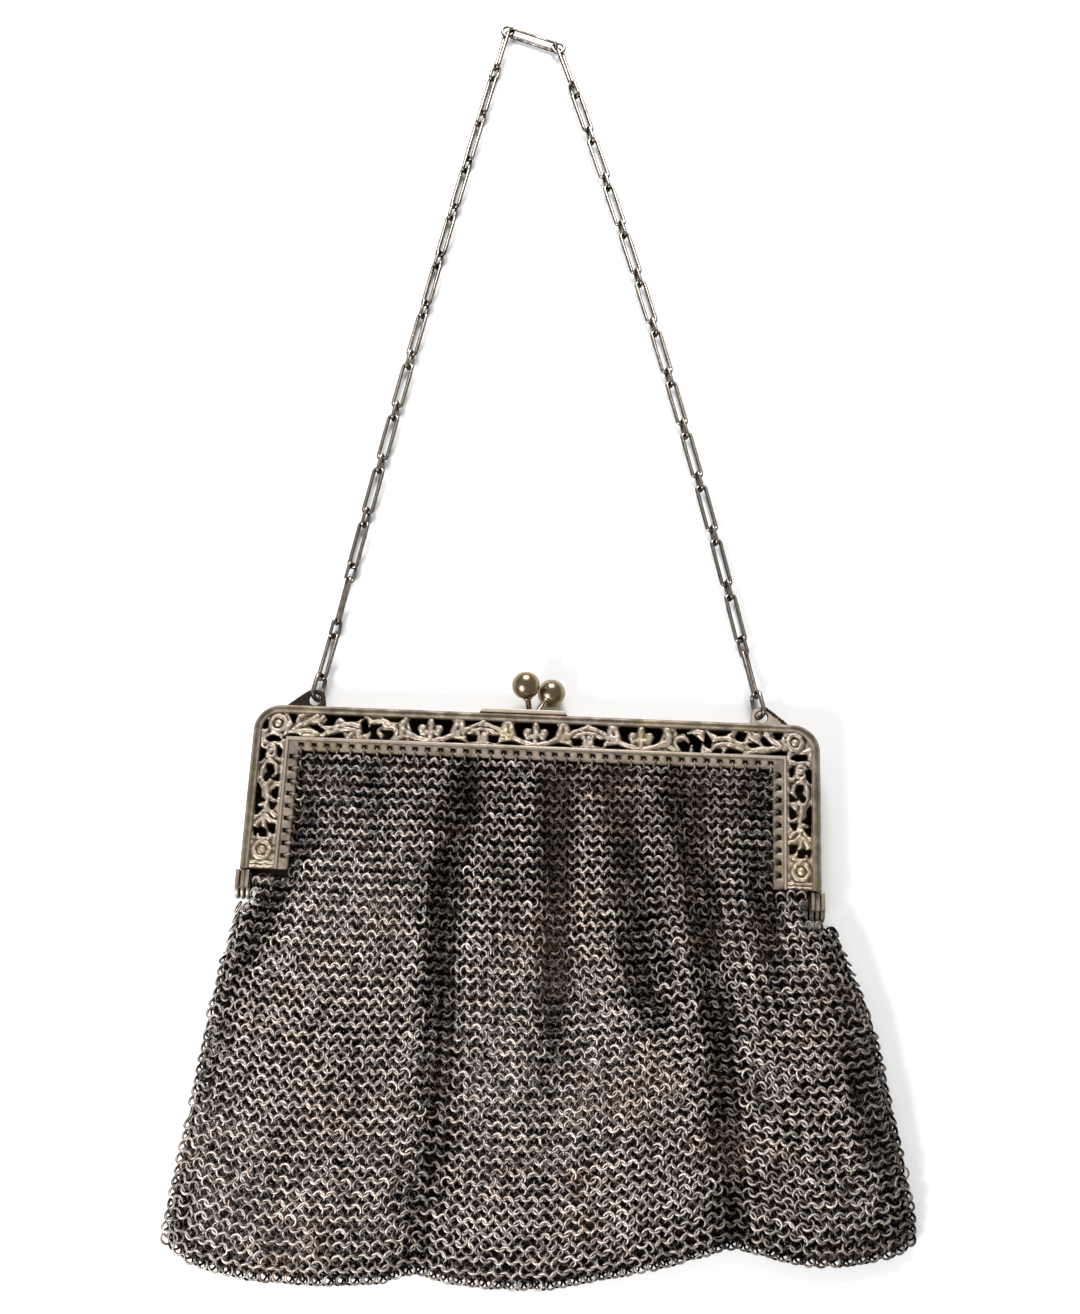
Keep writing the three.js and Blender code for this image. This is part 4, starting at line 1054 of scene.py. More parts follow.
        border = edges[~np.isin(key, edges[:, 1] * count + edges[:, 0])]
        points = np.vstack([top[used], under[used]])
        low = len(used)
        walls = np.column_stack([border[:, 1], border[:, 0], border[:, 0] + low, border[:, 1] + low])
        # The underside is painted dark as shade, and so is the lower part of every gap's wall.
        masks = {
            "worn": np.concatenate([worn.ravel()[used], np.zeros(low)]),
            "hollow": np.concatenate([hollow.ravel()[used], np.full(low, 0.8)]),
            "warm": np.tile(self.warm(gx, gy).ravel()[used], 2),
        }
        faces = np.vstack([triangles, triangles[:, ::-1] + low])
        split = np.vstack([walls[:, [0, 1, 2]], walls[:, [0, 2, 3]]])
        parts.add(points, np.vstack([faces, split]), **masks)

    def path(self, inset: float, corner_steps: int = 14) -> Tuple[Array, Array]:
        """The U line at a distance inside the outer edge, from the left leg's end to the right one's.

        Args:
            inset: How far inside the outer edge it runs.
            corner_steps: How many steps each rounded corner has.

        Returns:
            The line's points and its inward directions.
        """
        radius = max(self.corner_radius - inset, 0.0)
        side = self.half_width - inset
        top = self.top_y - inset
        turn = np.linspace(0, math.pi / 2, corner_steps)
        if radius == 0:
            left = np.array([[-side, self.leg_y], [-side, top]])
            inward = np.array([[1, 0], [1, -1]], float)
        else:
            arc_x = -side + radius - radius * np.cos(turn)
            arc_y = top - radius + radius * np.sin(turn)
            left = np.vstack([[-side, self.leg_y], np.column_stack([arc_x, arc_y])])
            inward = np.vstack([[1, 0], np.column_stack([np.cos(turn), -np.sin(turn)])])
        mirror = np.array([-1, 1])
        return np.vstack([left, left[::-1] * mirror]), np.vstack([inward, inward[::-1] * mirror])

    def add_profile(self, parts: MeshParts, line: Array, inward: Array,
                    profile: Sequence[Tuple[float, float, float]]) -> None:
        """Adds a bar of one section that follows the frame.

        Args:
            parts: The mesh that it joins.
            line: The line that it follows.
            inward: The inward direction at each of the line's points.
            profile: Its closed section, as inset, height and how worn it is there; low worn values also paint
                shade through the hollow mask.
        """
        inset, height, worn = np.asarray(profile, float).T
        flat = line[:, None] + inward[:, None] * inset[None, :, None]
        points = np.dstack([flat, np.broadcast_to(height, flat.shape[:2])])
        count = len(profile)
        masks = {
            "worn": np.tile(worn, len(line)),
            "hollow": np.tile(np.clip(0.5 - worn, 0, 1), len(line)),
            "warm": self.warm(flat[..., 0], flat[..., 1]).ravel(),
        }
        parts.add(points, grid_faces(len(line), count, close_columns=True), **masks)
        for row, flip in ((points[0], False), (points[-1], True)):
            cap = np.vstack([row, row.mean(0)])
            fan = np.stack([np.arange(count), (np.arange(count) + 1) % count, np.full(count, count)], -1)
            parts.add(cap, fan if flip else fan[:, ::-1], worn=0.5)

    def _add_rim(self, parts: MeshParts) -> None:
        """Adds the rounded outer rim with the skirt below it.

        Args:
            parts: The mesh that it joins.
        """
        low = (self.thickness + self.half_gap) / 2
        top = self.thickness
        # The third column paints light and shade as well as wear: the flat top is kept darker than its
        # rounded shoulders and the inner line, and the rows under the rim's inner edge are painted shade.
        profile = [
            (0.05, low, 0.0), (0.0, low + 0.3, 0.1), (0.0, top - 1.5, 0.1), (0.08, top - 1.0, 0.15),
            (0.3, top - 0.5, 0.2), (0.65, top - 0.17, 0.25), (1.0, top - 0.02, -0.1),
            (1.35, top - 0.03, -0.1), (1.6, top - 0.14, 0.0), (1.75, top - 0.16, 0.0),
            (1.95, top - 0.05, 0.2), (2.15, top - 0.08, 0.2), (2.32, top - 0.3, 0.3),
            (2.42, top - 0.75, 0.0), (2.4, top - 1.5, -0.2), (1.1, top - 1.62, -0.2),
            (self.skirt_wall, top - 2.0, 0.0), (self.skirt_wall, low, 0.1),
        ]
        line, inward = self.path(0.0)
        self.add_profile(parts, line, inward, profile)

    def _add_ridge(self, parts: MeshParts) -> None:
        """Adds the bright half-round ridge between the ornament and the strip of holes.

        Args:
            parts: The mesh that it joins.
        """
        half = self.ridge_half_width
        profile = [(-half, self.plate_top - 0.5, 0.1)]
        for step in range(9):
            turn = math.pi * step / 8
            rise = math.sin(turn)
            profile.append((-half * math.cos(turn), self.plate_top - 0.1 + 0.65 * rise, 0.1 + 0.5 * rise))
        profile.append((half, self.plate_top - 0.5, 0.1))
        line, inward = self.path(self.ridge_depth)
        self.add_profile(parts, line, inward, profile)

    def build(self, material: bpy.types.Material) -> bpy.types.Object:
        """Builds the front half in place of its plain solid.

        Args:
            material: Its finish.

        Returns:
            The piece.
        """
        parts = MeshParts()
        self._add_plate(parts)
        self._add_rim(parts)
        self._add_ridge(parts)
        piece = parts.piece("pierced_front", [material])
        crease(piece, 50)
        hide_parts("frame_front")
        return piece


def blurred(values: Array) -> Array:
    """A grid with each value averaged with its neighbours, to round its corners.

    Args:
        values: The grid.

    Returns:
        The smoother grid.
    """
    for axis in (0, 1):
        padded = np.pad(values, [(1, 1) if a == axis else (0, 0) for a in (0, 1)], mode="edge")
        before = padded[:-2] if axis == 0 else padded[:, :-2]
        after = padded[2:] if axis == 0 else padded[:, 2:]
        values = 0.25 * before + 0.5 * values + 0.25 * after
    return values


def crease(piece: bpy.types.Object, degrees: float) -> None:
    """Keeps edges sharper than an angle crisp, on a piece that is shaded smooth.

    Args:
        piece: The mesh object.
        degrees: The angle.
    """
    piece.data.set_sharp_from_angle(angle=math.radians(degrees))


@dataclass
class FrameBack:
    """The plain back half of the frame, darkened inside by tarnish and painted shade, with the two ears that
    carry the chain.
    """

    lug: Tuple[float, float, float] = (61.0, 10.0, 4.0)
    lug_thickness: float = 1.2
    lug_hole: float = 1.7
    lug_bevel: float = 0.22
    lug_sides: int = 240
    plate: float = 0.9
    bead_lumps: int = 14

    def _add_ear(self, parts: MeshParts, front: FrameFront, side: Side) -> None:
        """Adds one gusset-shaped ear with its round hole and, on the right, a bead of solder.

        Args:
            parts: The mesh that it joins.
            front: The front half, whose edge the ear stands on.
            side: Which ear.
        """
        lug_x, lug_y, lug_z = self.lug
        half = self.lug_thickness / 2
        outer = smooth_line([(-3.2, front.top_y - 0.6), (-2.6, lug_y + 1.2), (-1, lug_y + 2.7),
                             (1, lug_y + 2.8), (2.8, lug_y + 1.9), (8.6, front.top_y + 0.7),
                             (8.6, front.top_y - 0.6)], 4)
        corners = np.array(outer)
        turn = np.linspace(0, 2 * math.pi, self.lug_sides, endpoint=False)
        rays = np.column_stack([np.cos(turn), np.sin(turn)])
        reach = np.full(len(turn), 99.0)
        for start, end in zip(corners - [0, lug_y], np.roll(corners, -1, 0) - [0, lug_y]):
            along = end - start
            cross = rays[:, 0] * along[1] - rays[:, 1] * along[0]
            far = (start[0] * along[1] - start[1] * along[0]) / np.where(cross == 0, TINY, cross)
            part = (start[0] * rays[:, 1] - start[1] * rays[:, 0]) / np.where(cross == 0, TINY, cross)
            reach = np.where((far > 0) & (part >= 0) & (part <= 1), np.minimum(reach, far), reach)
        bevel = self.lug_bevel
        hole = np.full(len(turn), self.lug_hole)
        rows = []
        for radius, z in ((reach - bevel, half), (reach, half - bevel), (reach, bevel - half),
                          (reach - bevel, -half), (hole + bevel, -half), (hole, bevel - half),
                          (hole, half - bevel), (hole + bevel, half)):
            flat = rays * radius[:, None] * [side.value, 1] + [side.value * lug_x, lug_y]
            rows.append(np.column_stack([flat, np.full(len(turn), z + lug_z)]))
        faces = grid_faces(len(rows), len(turn), close_rows=True, close_columns=True)
        # The left ear is coloured dark and the right one pale.
        worn, hollow = (0.0, 0.85) if side is Side.LEFT else (0.6, 0.1)
        parts.add(np.vstack(rows), faces if side is Side.LEFT else faces[:, ::-1], worn=worn, hollow=hollow)
        if side is Side.RIGHT:
            self._add_bead(parts, corners[:-4] * [side.value, 1] + [side.value * lug_x, 0], lug_z + half)

    def _add_bead(self, parts: MeshParts, edge: Array, z: float) -> None:
        """Adds a rough dark bead of solder down an ear's slope.

        Args:
            parts: The mesh that it joins.
            edge: The ear's outline.
            z: The height of the ear's face.
        """
        random = np.random.default_rng(SEED + 3)
        slope = edge[len(edge) * 2 // 3:]
        for step in np.linspace(0, len(slope) - 1, self.bead_lumps):
            x = np.interp(step, np.arange(len(slope)), slope[:, 0])
            y = np.interp(step, np.arange(len(slope)), slope[:, 1])
            radius = float(random.uniform(0.4, 0.62))
            profile = [
                (-radius * math.cos(math.pi * row / 6), radius * math.sin(math.pi * row / 6))
                for row in range(7)
            ]
            turned(parts, (x - 0.35, y - 0.35, z - 0.15), (0, 0, 1), profile, 10, worn=0.1, hollow=0.75)

    def build(self, material: bpy.types.Material, front: FrameFront) -> bpy.types.Object:
        """Builds the back half in place of its plain solid.

        Args:
            material: Its finish.
            front: The front half, whose outline it shares.

        Returns:
            The piece.
        """
        parts = MeshParts()
        wall = front.skirt_wall
        high = (front.thickness - front.half_gap) / 2
        # The third column paints the plate's inner face and the skirt's inside near black as shade, and
        # leaves the outer faces clean.
        edge = [
            (wall, self.plate, -0.5), (wall, high - 0.15, -0.3), (wall - 0.15, high, 0.4), (0.15, high, 0.5),
            (0.0, high - 0.15, 0.6), (0.0, 1.1, 0.5), (0.12, 0.55, 0.6), (0.42, 0.16, 0.8), (0.85, 0.0, 0.5),
            (front.band - 0.3, 0.0, 0.5), (front.band, 0.2, 0.7), (front.band, self.plate - 0.2, 0.4),
            (front.band - 0.2, self.plate, -0.5),
        ]
        line, inward = front.path(0.0)
        front.add_profile(parts, line, inward, edge[::-1])
        for side in Side:
            self._add_ear(parts, front, side)
        piece = parts.piece("plain_back", [material])
        crease(piece, 40)
        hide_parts("frame_back")
        return piece


@dataclass
class Hinge:
    """A barrel hinge below one leg, with its tabs, knuckle joints and pin."""

    side: Side
    centre_x: float = 75.3
    barrel_y: float = -44.0
    middle: float = 5.5
    radius: float = 2.3
    length: float = 4.2
    leg_y: float = -39.0
    gap: float = 0.3

    def _knuckle(self, left: float, right: float) -> Tuple[List[Point], List[float], List[float]]:
        """One knuckle's turned profile between two places on the pin.

        Args:
            left: Where it starts.
            right: Where it ends.

        Returns:
            The profile, and how worn and how hollow each of its rows is; the hollow values paint shade into
            the grooves between knuckles.
        """
        radius = self.radius
        rows = [(left, 0.0), (left, radius - 0.75), (left + 0.08, radius - 0.35),
                (left + 0.28, radius - 0.06), (left + 0.45, radius), (right - 0.45, radius),
                (right - 0.28, radius - 0.06), (right - 0.08, radius - 0.35), (right, radius - 0.75),
                (right, 0.0)]
        # Painted shade: the knuckle's ends, which face the grooves between knuckles, are made near black, and
        # its rounded top is left clean.
        worn = [0.0, 0.0, 0.2, 0.7, 1.0, 1.0, 0.7, 0.2, 0.0, 0.0]
        hollow = [1.0, 1.0, 0.7, 0.1, 0.0, 0.0, 0.1, 0.7, 1.0, 1.0]
        return rows, worn, hollow

    def build(self, material: bpy.types.Material) -> bpy.types.Object:
        """Builds the hinge in place of its plain solid.

        Args:
            material: Its finish.

        Returns:
            The piece.
        """
        parts = MeshParts()
        x = self.side.value * self.centre_x
        half = self.length / 2
        joint = self.length / 6
        centre = (x, self.barrel_y, self.middle)
        for left, right in ((-half, -joint - 0.06), (-joint + 0.06, joint - 0.06), (joint + 0.06, half)):
            profile, worn, hollow = self._knuckle(left, right)
            turned(parts, centre, (1, 0, 0), profile, 28, worn=worn, hollow=hollow)
        # The pin, seen only through the grooves, is painted near black as shade.
        pin = [(-half, 0.0), (-half, 1.3), (half, 1.3), (half, 0.0)]
        turned(parts, centre, (1, 0, 0), pin, 20, worn=0.0, hollow=1.0)
        fingers = ((-half + 0.3, -joint - 0.1, 6.1, 9.9), (joint + 0.1, half - 0.3, 6.1, 9.9),
                   (-joint + 0.1, joint - 0.1, 1.4, 9.2), (-half + 0.3, half - 0.3, 1.4, 4.9))
        top = self.leg_y - self.gap
        for left, right, low, high in fingers:
            outline = [(x + left, self.barrel_y), (x + right, self.barrel_y), (x + right, top),
                       (x + left, top)]
            slab(parts, outline, low, high, 0.3, worn=0.3, hollow=0.35)
        name = self.side.name.lower()
        piece = parts.piece(f"hinge_{name}_barrel", [material])
        crease(piece, 40)
        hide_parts(f"hinge_{name}")
        return piece


# The clasp


@dataclass
class ClaspHalf:
    """One half of the kiss-lock clasp: a saddle along the top edge, a bent arm and a hollow ball."""

    name: str
    saddle_x: Tuple[float, float]
    saddle_z: Tuple[float, float]
    arm: List[Tuple[float, float, float]]
    ball: Tuple[float, float, float]
    warm: float
    ball_radius: float = 3.8
    arm_radius: float = 0.8
    top_y: float = 6.4
    gap: float = 0.3
    seat: float = 0.02

    def _ball_profile(self) -> List[Point]:
        """A sphere with a shallow seam round its middle."""
        rows = []
        for step in range(33):
            turn = math.pi * step / 32
            seam = 0.035 * math.exp(-((turn - math.pi / 2) / 0.035) ** 2)
            radius = self.ball_radius - seam
            rows.append((-radius * math.cos(turn), radius * math.sin(turn)))
        return rows

    def build(self, material: bpy.types.Material, saddle: bpy.types.Material) -> bpy.types.Object:
        """Builds the half in place of its plain solid.

        Args:
            material: The ball's and arm's finish.
            saddle: The saddle's finish.

        Returns:
            The piece.
        """
        parts = MeshParts()
        points = np.array([*self.arm, self.ball], float)
        towards = unit(points[-1] - points[-2])
        turned(parts, self.ball, towards, self._ball_profile(), 48, worn=0.75, hollow=0.0, warm=self.warm)
        line = np.array(smooth_line([*points[:-1], points[-1] - towards * 2], 8))
        wire(parts, line, self.arm_radius, 14, False, worn=0.7, hollow=0.1)
        collar = self.ball_radius - 0.15
        profile = [(-collar - 0.55, 0.0), (-collar - 0.5, 1.0), (-collar - 0.3, 1.25), (-collar + 0.1, 1.25),
                   (-collar + 0.5, 1.1), (-collar + 0.6, 0.0)]
        turned(parts, self.ball, towards, profile, 24, worn=0.5, hollow=0.3)
        bottom = self.top_y + self.seat
        top = self.top_y + self.gap + 0.9
        left, right = self.saddle_x
        outline = [(left, bottom), (right, bottom), (right - 0.35, top - 0.4), (right - 1.2, top),
                   (left + 1.2, top), (left + 0.35, top - 0.4)]
        slab(parts, outline, *self.saddle_z, 0.3, 1, worn=0.8, hollow=0.0)
        piece = parts.piece(f"{self.name}_ball_and_arm", [material, saddle])
        crease(piece, 40)
        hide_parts(self.name)
        return piece


# The chain


@dataclass(frozen=True)
class Strand3:
    """One side of the chain, from its ear to its top corner."""

    side: Side
    corner: Tuple[float, float]
    bow: float
    turns: Tuple[float, ...]


@dataclass
class Chain:
    """The wrist chain: end rings, long links and small rings, each through the next."""

    height: float = 2.0
    link_wire: float = 1.15
    ring_wire: float = 1.0
    link_width: float = 2.7
    link_length: float = 13.0
    ring_length: float = 5.4
    ring_width: float = 2.5
    end_wire: float = 1.25
    end_length: float = 7.1
    end_width: float = 4.3
    end_turn: float = 24.0
    end_seat: float = 0.75
    contact: float = 0.96
    links_per_side: int = 13
    corner_ring: float = 3.6
    corner_pull: float = 0.08
    # Painted light on the top of every link's wire and painted shade on its flanks.
    painted_crest_light: float = 1.1
    wire_sides: int = 9
    top_roll: float = 55.0
    lug: Tuple[float, float, float] = (61.0, 10.0, 4.0)
    lug_hole: float = 1.7
    strands: Tuple[Strand3, ...] = (
        Strand3(Side.LEFT, (-19.2, 236.6), 1.2, (35, 66, 25, 12, 8, 10, 25, 30, 28, 30, 35, 40, 62)),
        Strand3(Side.RIGHT, (-2.8, 230.8), 3.4, (62, 12, 15, 10, 12, 16, 12, 10, 14, 12, 10, 18, 58)),
    )
    random: np.random.Generator = field(default_factory=lambda: np.random.default_rng(SEED))

    def _loop_line(self, length: float, width: float) -> Array:
        """A loop's centre line in its own plane: straight sides and round ends, flat at the tip.

        Args:
            length: Its length along y.
            width: Its width along x.

        Returns:
            The points, one row each.
        """
        half = width / 2
        turn = np.linspace(0, math.pi / 2, 7)
        x = half * np.cos(turn) ** 0.75
        y = length / 2 - half * 0.85 + half * 0.85 * np.sin(turn) ** 0.75
        quarter = np.column_stack([x, y])
        right = np.vstack([[[half, 0.0]], quarter]) if length > 3 * width else quarter
        top = np.vstack([right, quarter[-2::-1] * [-1, 1]])
        if length > 3 * width:
            top = np.vstack([top, [[-half, 0.0]]])
        loop = np.vstack([top, top[1:-1] * [-1, -1]]) if length > 3 * width else np.vstack([top, -top])
        return np.column_stack([loop, np.zeros(len(loop))])

    def _place(self, parts: MeshParts, start: Array, end: Array, length: float, width: float, thick: float,
               roll: float) -> None:
        """Adds a loop between two points of the chain.

        Args:
            parts: The mesh that it joins.
            start: One tip's point.
            end: The other tip's point.
            length: The loop's length.
            width: Its width.
            thick: Its wire's diameter.
            roll: How far it is turned about its own length, in degrees.
        """
        line = self._loop_line(length, width)
        turn = math.radians(roll)
        cos, sin = math.cos(turn), math.sin(turn)
        spin = np.array([[cos, 0, sin], [0, 1, 0], [-sin, 0, cos]])
        along = Vector((end - start).tolist()).normalized()
        swing = np.array(Vector((0, 1, 0)).rotation_difference(along).to_matrix())
        line = line @ spin.T @ swing.T + (start + end) / 2
        tone = float(self.random.uniform(0.2, 0.9))
        worn = float(self.random.uniform(0.25, 0.75))
        hollow = float(self.random.uniform(0.1, 0.45))
        wire(parts, line, thick / 2, self.wire_sides, True, self.painted_crest_light, worn=worn, tone=tone, hollow=hollow)

    def _point(self, strand: Strand3, start: Array, distance: float, total: float) -> Array:
        """The point of a strand at a length along it.

        Args:
            strand: Which side.
            start: Where the strand starts, in the ear.
            distance: The length along it.
            total: Its whole length.

        Returns:
            The point.
        """
        part = distance / total
        corner = np.array([*strand.corner, self.height])
        point = start + (corner - start) * part
        point[0] += strand.side.value * strand.bow * 4 * part * (1 - part)
        fall = min(distance / (self.link_length + self.end_length), 1)
        point[2] = start[2] + (self.height - start[2]) * fall
        return point

    def _strand(self, parts: MeshParts, strand: Strand3) -> None:
        """Adds one side of the chain.

        Args:
            parts: The mesh that it joins.
            strand: Which side.
        """
        lug_x, lug_y, lug_z = self.lug
        start_y = lug_y + self.lug_hole - self.end_seat - self.end_wire / 2
        start = np.array([strand.side.value * lug_x, start_y, lug_z])
        total = float(np.linalg.norm(np.array([*strand.corner, self.height]) - start))
        rings = self.links_per_side - 1
        lost = self.end_length + rings * self.ring_length + self.corner_ring / 2 - self.corner_pull
        link = (total + 2 * self.links_per_side * self.contact - lost) / self.links_per_side
        place = 0.0
        side = strand.side.value
        rows = [(self.end_length, self.end_width, self.end_wire, 90 + side * self.end_turn)]
        for number, turn in enumerate(strand.turns):
            rows.append((link, self.link_width, self.link_wire, side * turn))
            if number < rings:
                across = side * (turn + strand.turns[number + 1]) / 2 + 90
                rows.append((self.ring_length, self.ring_width, self.ring_wire, across))
        for length, width, thick, roll in rows:
            low = self._point(strand, start, place, total)
            high = self._point(strand, start, place + length, total)
            self._place(parts, low, high, length, width, thick, roll)
            place += length - self.contact

    def build(self, material: bpy.types.Material) -> bpy.types.Object:
        """Builds the chain in place of its plain solid.

        Args:
            material: Its finish.

        Returns:
            The piece.
        """
        parts = MeshParts()
        for strand in self.strands:
            self._strand(parts, strand)
        corners = [np.array([*strand.corner, self.height]) for strand in self.strands]
        across = unit(corners[1] - corners[0])
        reach = self.corner_ring / 2 - self.contact + self.corner_pull
        left, right = corners[0] + across * reach, corners[1] - across * reach
        self._place(parts, left, right, float(np.linalg.norm(right - left)), self.link_width, self.link_wire,
                    self.top_roll)
        turn = np.arange(24) / 24 * 2 * math.pi
        for corner in corners:
            circle = np.column_stack([np.cos(turn), np.sin(turn), np.zeros(24)]) * self.corner_ring / 2
            wire(parts, circle + corner, self.ring_wire / 2, self.wire_sides, True, self.painted_crest_light, worn=0.5,
                 hollow=0.3)
        piece = parts.piece("chain_links", [material])
        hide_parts("chain")
        return piece


# The ring mesh


@dataclass
class Pouch:
    """The pouch: two sheets of interlinked rings, hung from the frame and joined at sides and hem."""

    rows: int = 91
    columns: int = 58
    mouth_y: float = -6.7
    seam_height: float = 3.7
    seam_lift: float = 0.9
    seam_width: float = 5.0
    side_roll: float = 11.0
    hem_roll: float = 15.0
    sheet: float = 2.0
    ring_radius: float = 1.5
    wire_radius: float = 0.36
    lean: float = 22.0
    leg_x: float = 64.2
    leg_y: float = -39.3
    hinge_x: float = 72.9
    hinge_end: float = 79.5
    hinge_y: float = -46.6
    hanger_radius: float = 1.12
    hanger_wire: float = 0.32
    front_facets: Tuple[int, int] = (12, 4)
    back_facets: Tuple[int, int] = (8, 3)
    random: np.random.Generator = field(default_factory=lambda: np.random.default_rng(SEED + 1))

    @staticmethod
    def _rolled(distance: Array, reach: float) -> Array:
        """How far the sheet has risen at a distance from its seam, as part of the whole.

        Args:
            distance: The distance from the seam.
            reach: Where the sheet has its full height.

        Returns:
            The part at each place.
        """
        part = np.clip(distance / reach, 0, 1)
        return np.sqrt(1 - (1 - part) ** 2)

    def _place(self, across: Array, down: Array) -> Tuple[Array, Array, Array, Array]:
        """Places on the pouch: across from left to right seam, down from mouth to hem.

        Args:
            across: From 0 to 1.
            down: From 0 to 1.

        Returns:
            x, y, and the distances from the nearer side and from the hem.
        """
        left = soft_table(down, SIDE_DOWN, SIDE_LEFT, 0.06)
        right = soft_table(down, SIDE_DOWN, SIDE_RIGHT, 0.06)
        x = left + across * (right - left)
        hem_x = HEM_X[0] + across * (HEM_X[-1] - HEM_X[0])
        hem_y = soft_table(hem_x, HEM_X, HEM_Y, 4.0)
        y = self.mouth_y + down * (hem_y - self.mouth_y)
        return x, y, np.minimum(x - left, right - x), y - hem_y

    def _front(self, across: Array, down: Array) -> Tuple[Array, Array]:
        """Points on the front sheet's middle surface, and how deep in a fold each lies.

        Args:
            across: From the left seam to the right one.
            down: From mouth to hem.

        Returns:
            The points, and the folds' depth at each.
        """
        x, y, from_side, from_hem = self._place(across, down)
        folds = sum(fold.at(x, y) for fold in FRONT_FOLDS.values())
        rise = self._rolled(from_side, self.side_roll) * self._rolled(from_hem, self.hem_roll)
        crown = table(y, CROWN_Y, CROWN_HEIGHT) - self.seam_height
        z = self.seam_height + rise * (crown - folds) - self.sheet / 2
        return np.stack([x, y, z], -1), folds * rise

    def _back(self, across: Array, down: Array) -> Tuple[Array, Array]:
        """Points on the back sheet's middle surface, which lies flat on the floor.

        Args:
            across: From the left seam to the right one.
            down: From mouth to hem.

        Returns:
            The points, and zero for each, because the back has no folds.
        """
        x, y, from_side, from_hem = self._place(across, down)
        lift = self.seam_lift * (1 - self._rolled(np.minimum(from_side, from_hem), self.seam_width))
        return np.stack([x, y, self.sheet / 2 + lift], -1), np.zeros(x.shape)

    def _lattice(self, first: int) -> Tuple[Array, Array, Array]:
        """Where the rings go: across and down for each, and which way its row leans.

        Args:
            first: 0 if the first row starts at the seam, 1 if it starts half a ring in.

        Returns:
            Three values for each ring.
        """
        across, down, lean = [], [], []
        margin = 0.0075
        for row in range(self.rows):
            odd = (row + first) % 2
            count = self.columns + 1 - odd
            spread = (np.arange(count) + odd / 2) / self.columns
            across.append(margin + (1 - 2 * margin) * spread)
            down.append(np.full(count, (row + 0.25 + 0.5 * first) / (self.rows - 0.25 + 0.5 * first)))
            lean.append(np.full(count, 2.0 * odd - 1))
        return np.concatenate(across), np.concatenate(down), np.concatenate(lean)

    def _clear_of_frame(self, x: Array, y: Array, reach: float) -> Array:
        """Which rings stay clear of the legs and the hinges.

        Args:
            x: The rings' x.
            y: The rings' y.
            reach: The rings' outer radius.

        Returns:
            True for each ring that stays.
        """
        wide = np.abs(x) + reach > self.leg_x
        beside_leg = wide & (y + reach > self.leg_y)
        beside_hinge = (np.abs(x) + reach > self.hinge_x) & (np.abs(x) < self.hinge_end)
        return ~(beside_leg | beside_hinge & (y + reach > self.hinge_y))

    def _rings(self, surface: Callable[[Array, Array], Tuple[Array, Array]], facets: Tuple[int, int],
               rows: Tuple[float, float], flip: float) -> MeshParts:
        """The rings of part of one sheet.

        Args:
            surface: Gives points on the sheet.
            facets: How many steps each ring has, and how many sides its wire has.
            rows: From which part of the way down to which.
            flip: 1 for the front, -1 for the back, whose outside faces down.

        Returns:
            The rings.
        """
        steps, sides = facets
        across, down, lean = self._lattice(0 if flip > 0 else 1)
        chosen = (down >= rows[0]) & (down < rows[1])
        across, down, lean = across[chosen], down[chosen], lean[chosen]
        step = 0.004
        centre, depth = surface(across, down)
        right = unit(surface(across + step, down)[0] - surface(across - step, down)[0])
        up = unit(surface(across, down - step)[0] - surface(across, down + step)[0])
        normal = unit(np.cross(right, up)) * flip
        up = unit(up - right * np.sum(up * right, -1, keepdims=True))
        count = len(across)
        turn = np.radians(lean * self.lean + self.random.normal(0, 11, count))
        tip = np.radians(self.random.normal(0, 14, count))
        ring_y = up * np.cos(turn)[:, None] + normal * np.sin(turn)[:, None]
        ring_x = right * np.cos(tip)[:, None] + normal * np.sin(tip)[:, None]
        ring_x = unit(ring_x - ring_y * np.sum(ring_x * ring_y, -1, keepdims=True))
        axis = np.cross(ring_x, ring_y)
        centre = centre + self.random.normal(0, 0.06, (count, 3)) * [1, 1, 0.5]
        _, y, from_side, from_hem = self._place(across, down)
        pitch = np.abs(surface(across + 0.5 / self.columns, down)[0][:, 0]
                       - surface(across - 0.5 / self.columns, down)[0][:, 0])
        half_x = np.clip(pitch / 2 - 0.12, 1.15, self.ring_radius)
        half_y = np.full(count, self.ring_radius)
        keep = self._clear_of_frame(centre[:, 0], centre[:, 1], 1.35)
        tone = np.clip(self.random.normal(0.5, 0.22, count), 0, 1)
        near_edge = np.clip(1 - np.minimum(from_side, from_hem) / 9, 0, 1)
        near_mouth = np.clip(1 - (self.mouth_y - y) / 55, 0, 1)
        to_right = np.clip(centre[:, 0] / 90, 0, 1)
        # Painted shade: the rings darken with the folds' depth, near the sides and hem, below the mouth under
        # the frame, and towards the right.
        hollow = depth / 2.6 + 0.5 * near_edge + 0.6 * near_mouth + 0.4 * to_right
        hollow = np.clip(hollow, 0, 1)[:, None, None]
        ring_turn = np.arange(steps) / steps * 2 * math.pi
        wire_turn = np.arange(sides) / sides * 2 * math.pi + math.pi / sides
        out = self.wire_radius * np.cos(wire_turn)
        rise = self.wire_radius * np.sin(wire_turn)
        cos, sin = np.cos(ring_turn), np.sin(ring_turn)
        across_ring = cos[None, :, None] * (half_x[:, None, None] + out[None, None, :])
        along_ring = sin[None, :, None] * (half_y[:, None, None] + out[None, None, :])
        above_ring = np.broadcast_to(rise[None, None, :], across_ring.shape)
        points = (centre[:, None, None] + across_ring[..., None] * ring_x[:, None, None]
                  + along_ring[..., None] * ring_y[:, None, None]
                  + above_ring[..., None] * axis[:, None, None])
        outwards = np.sum((points - centre[:, None, None]) * normal[:, None, None], -1)
        points[..., 2] += np.clip(0.02 - points[..., 2].min((1, 2)), 0, None)[:, None, None]
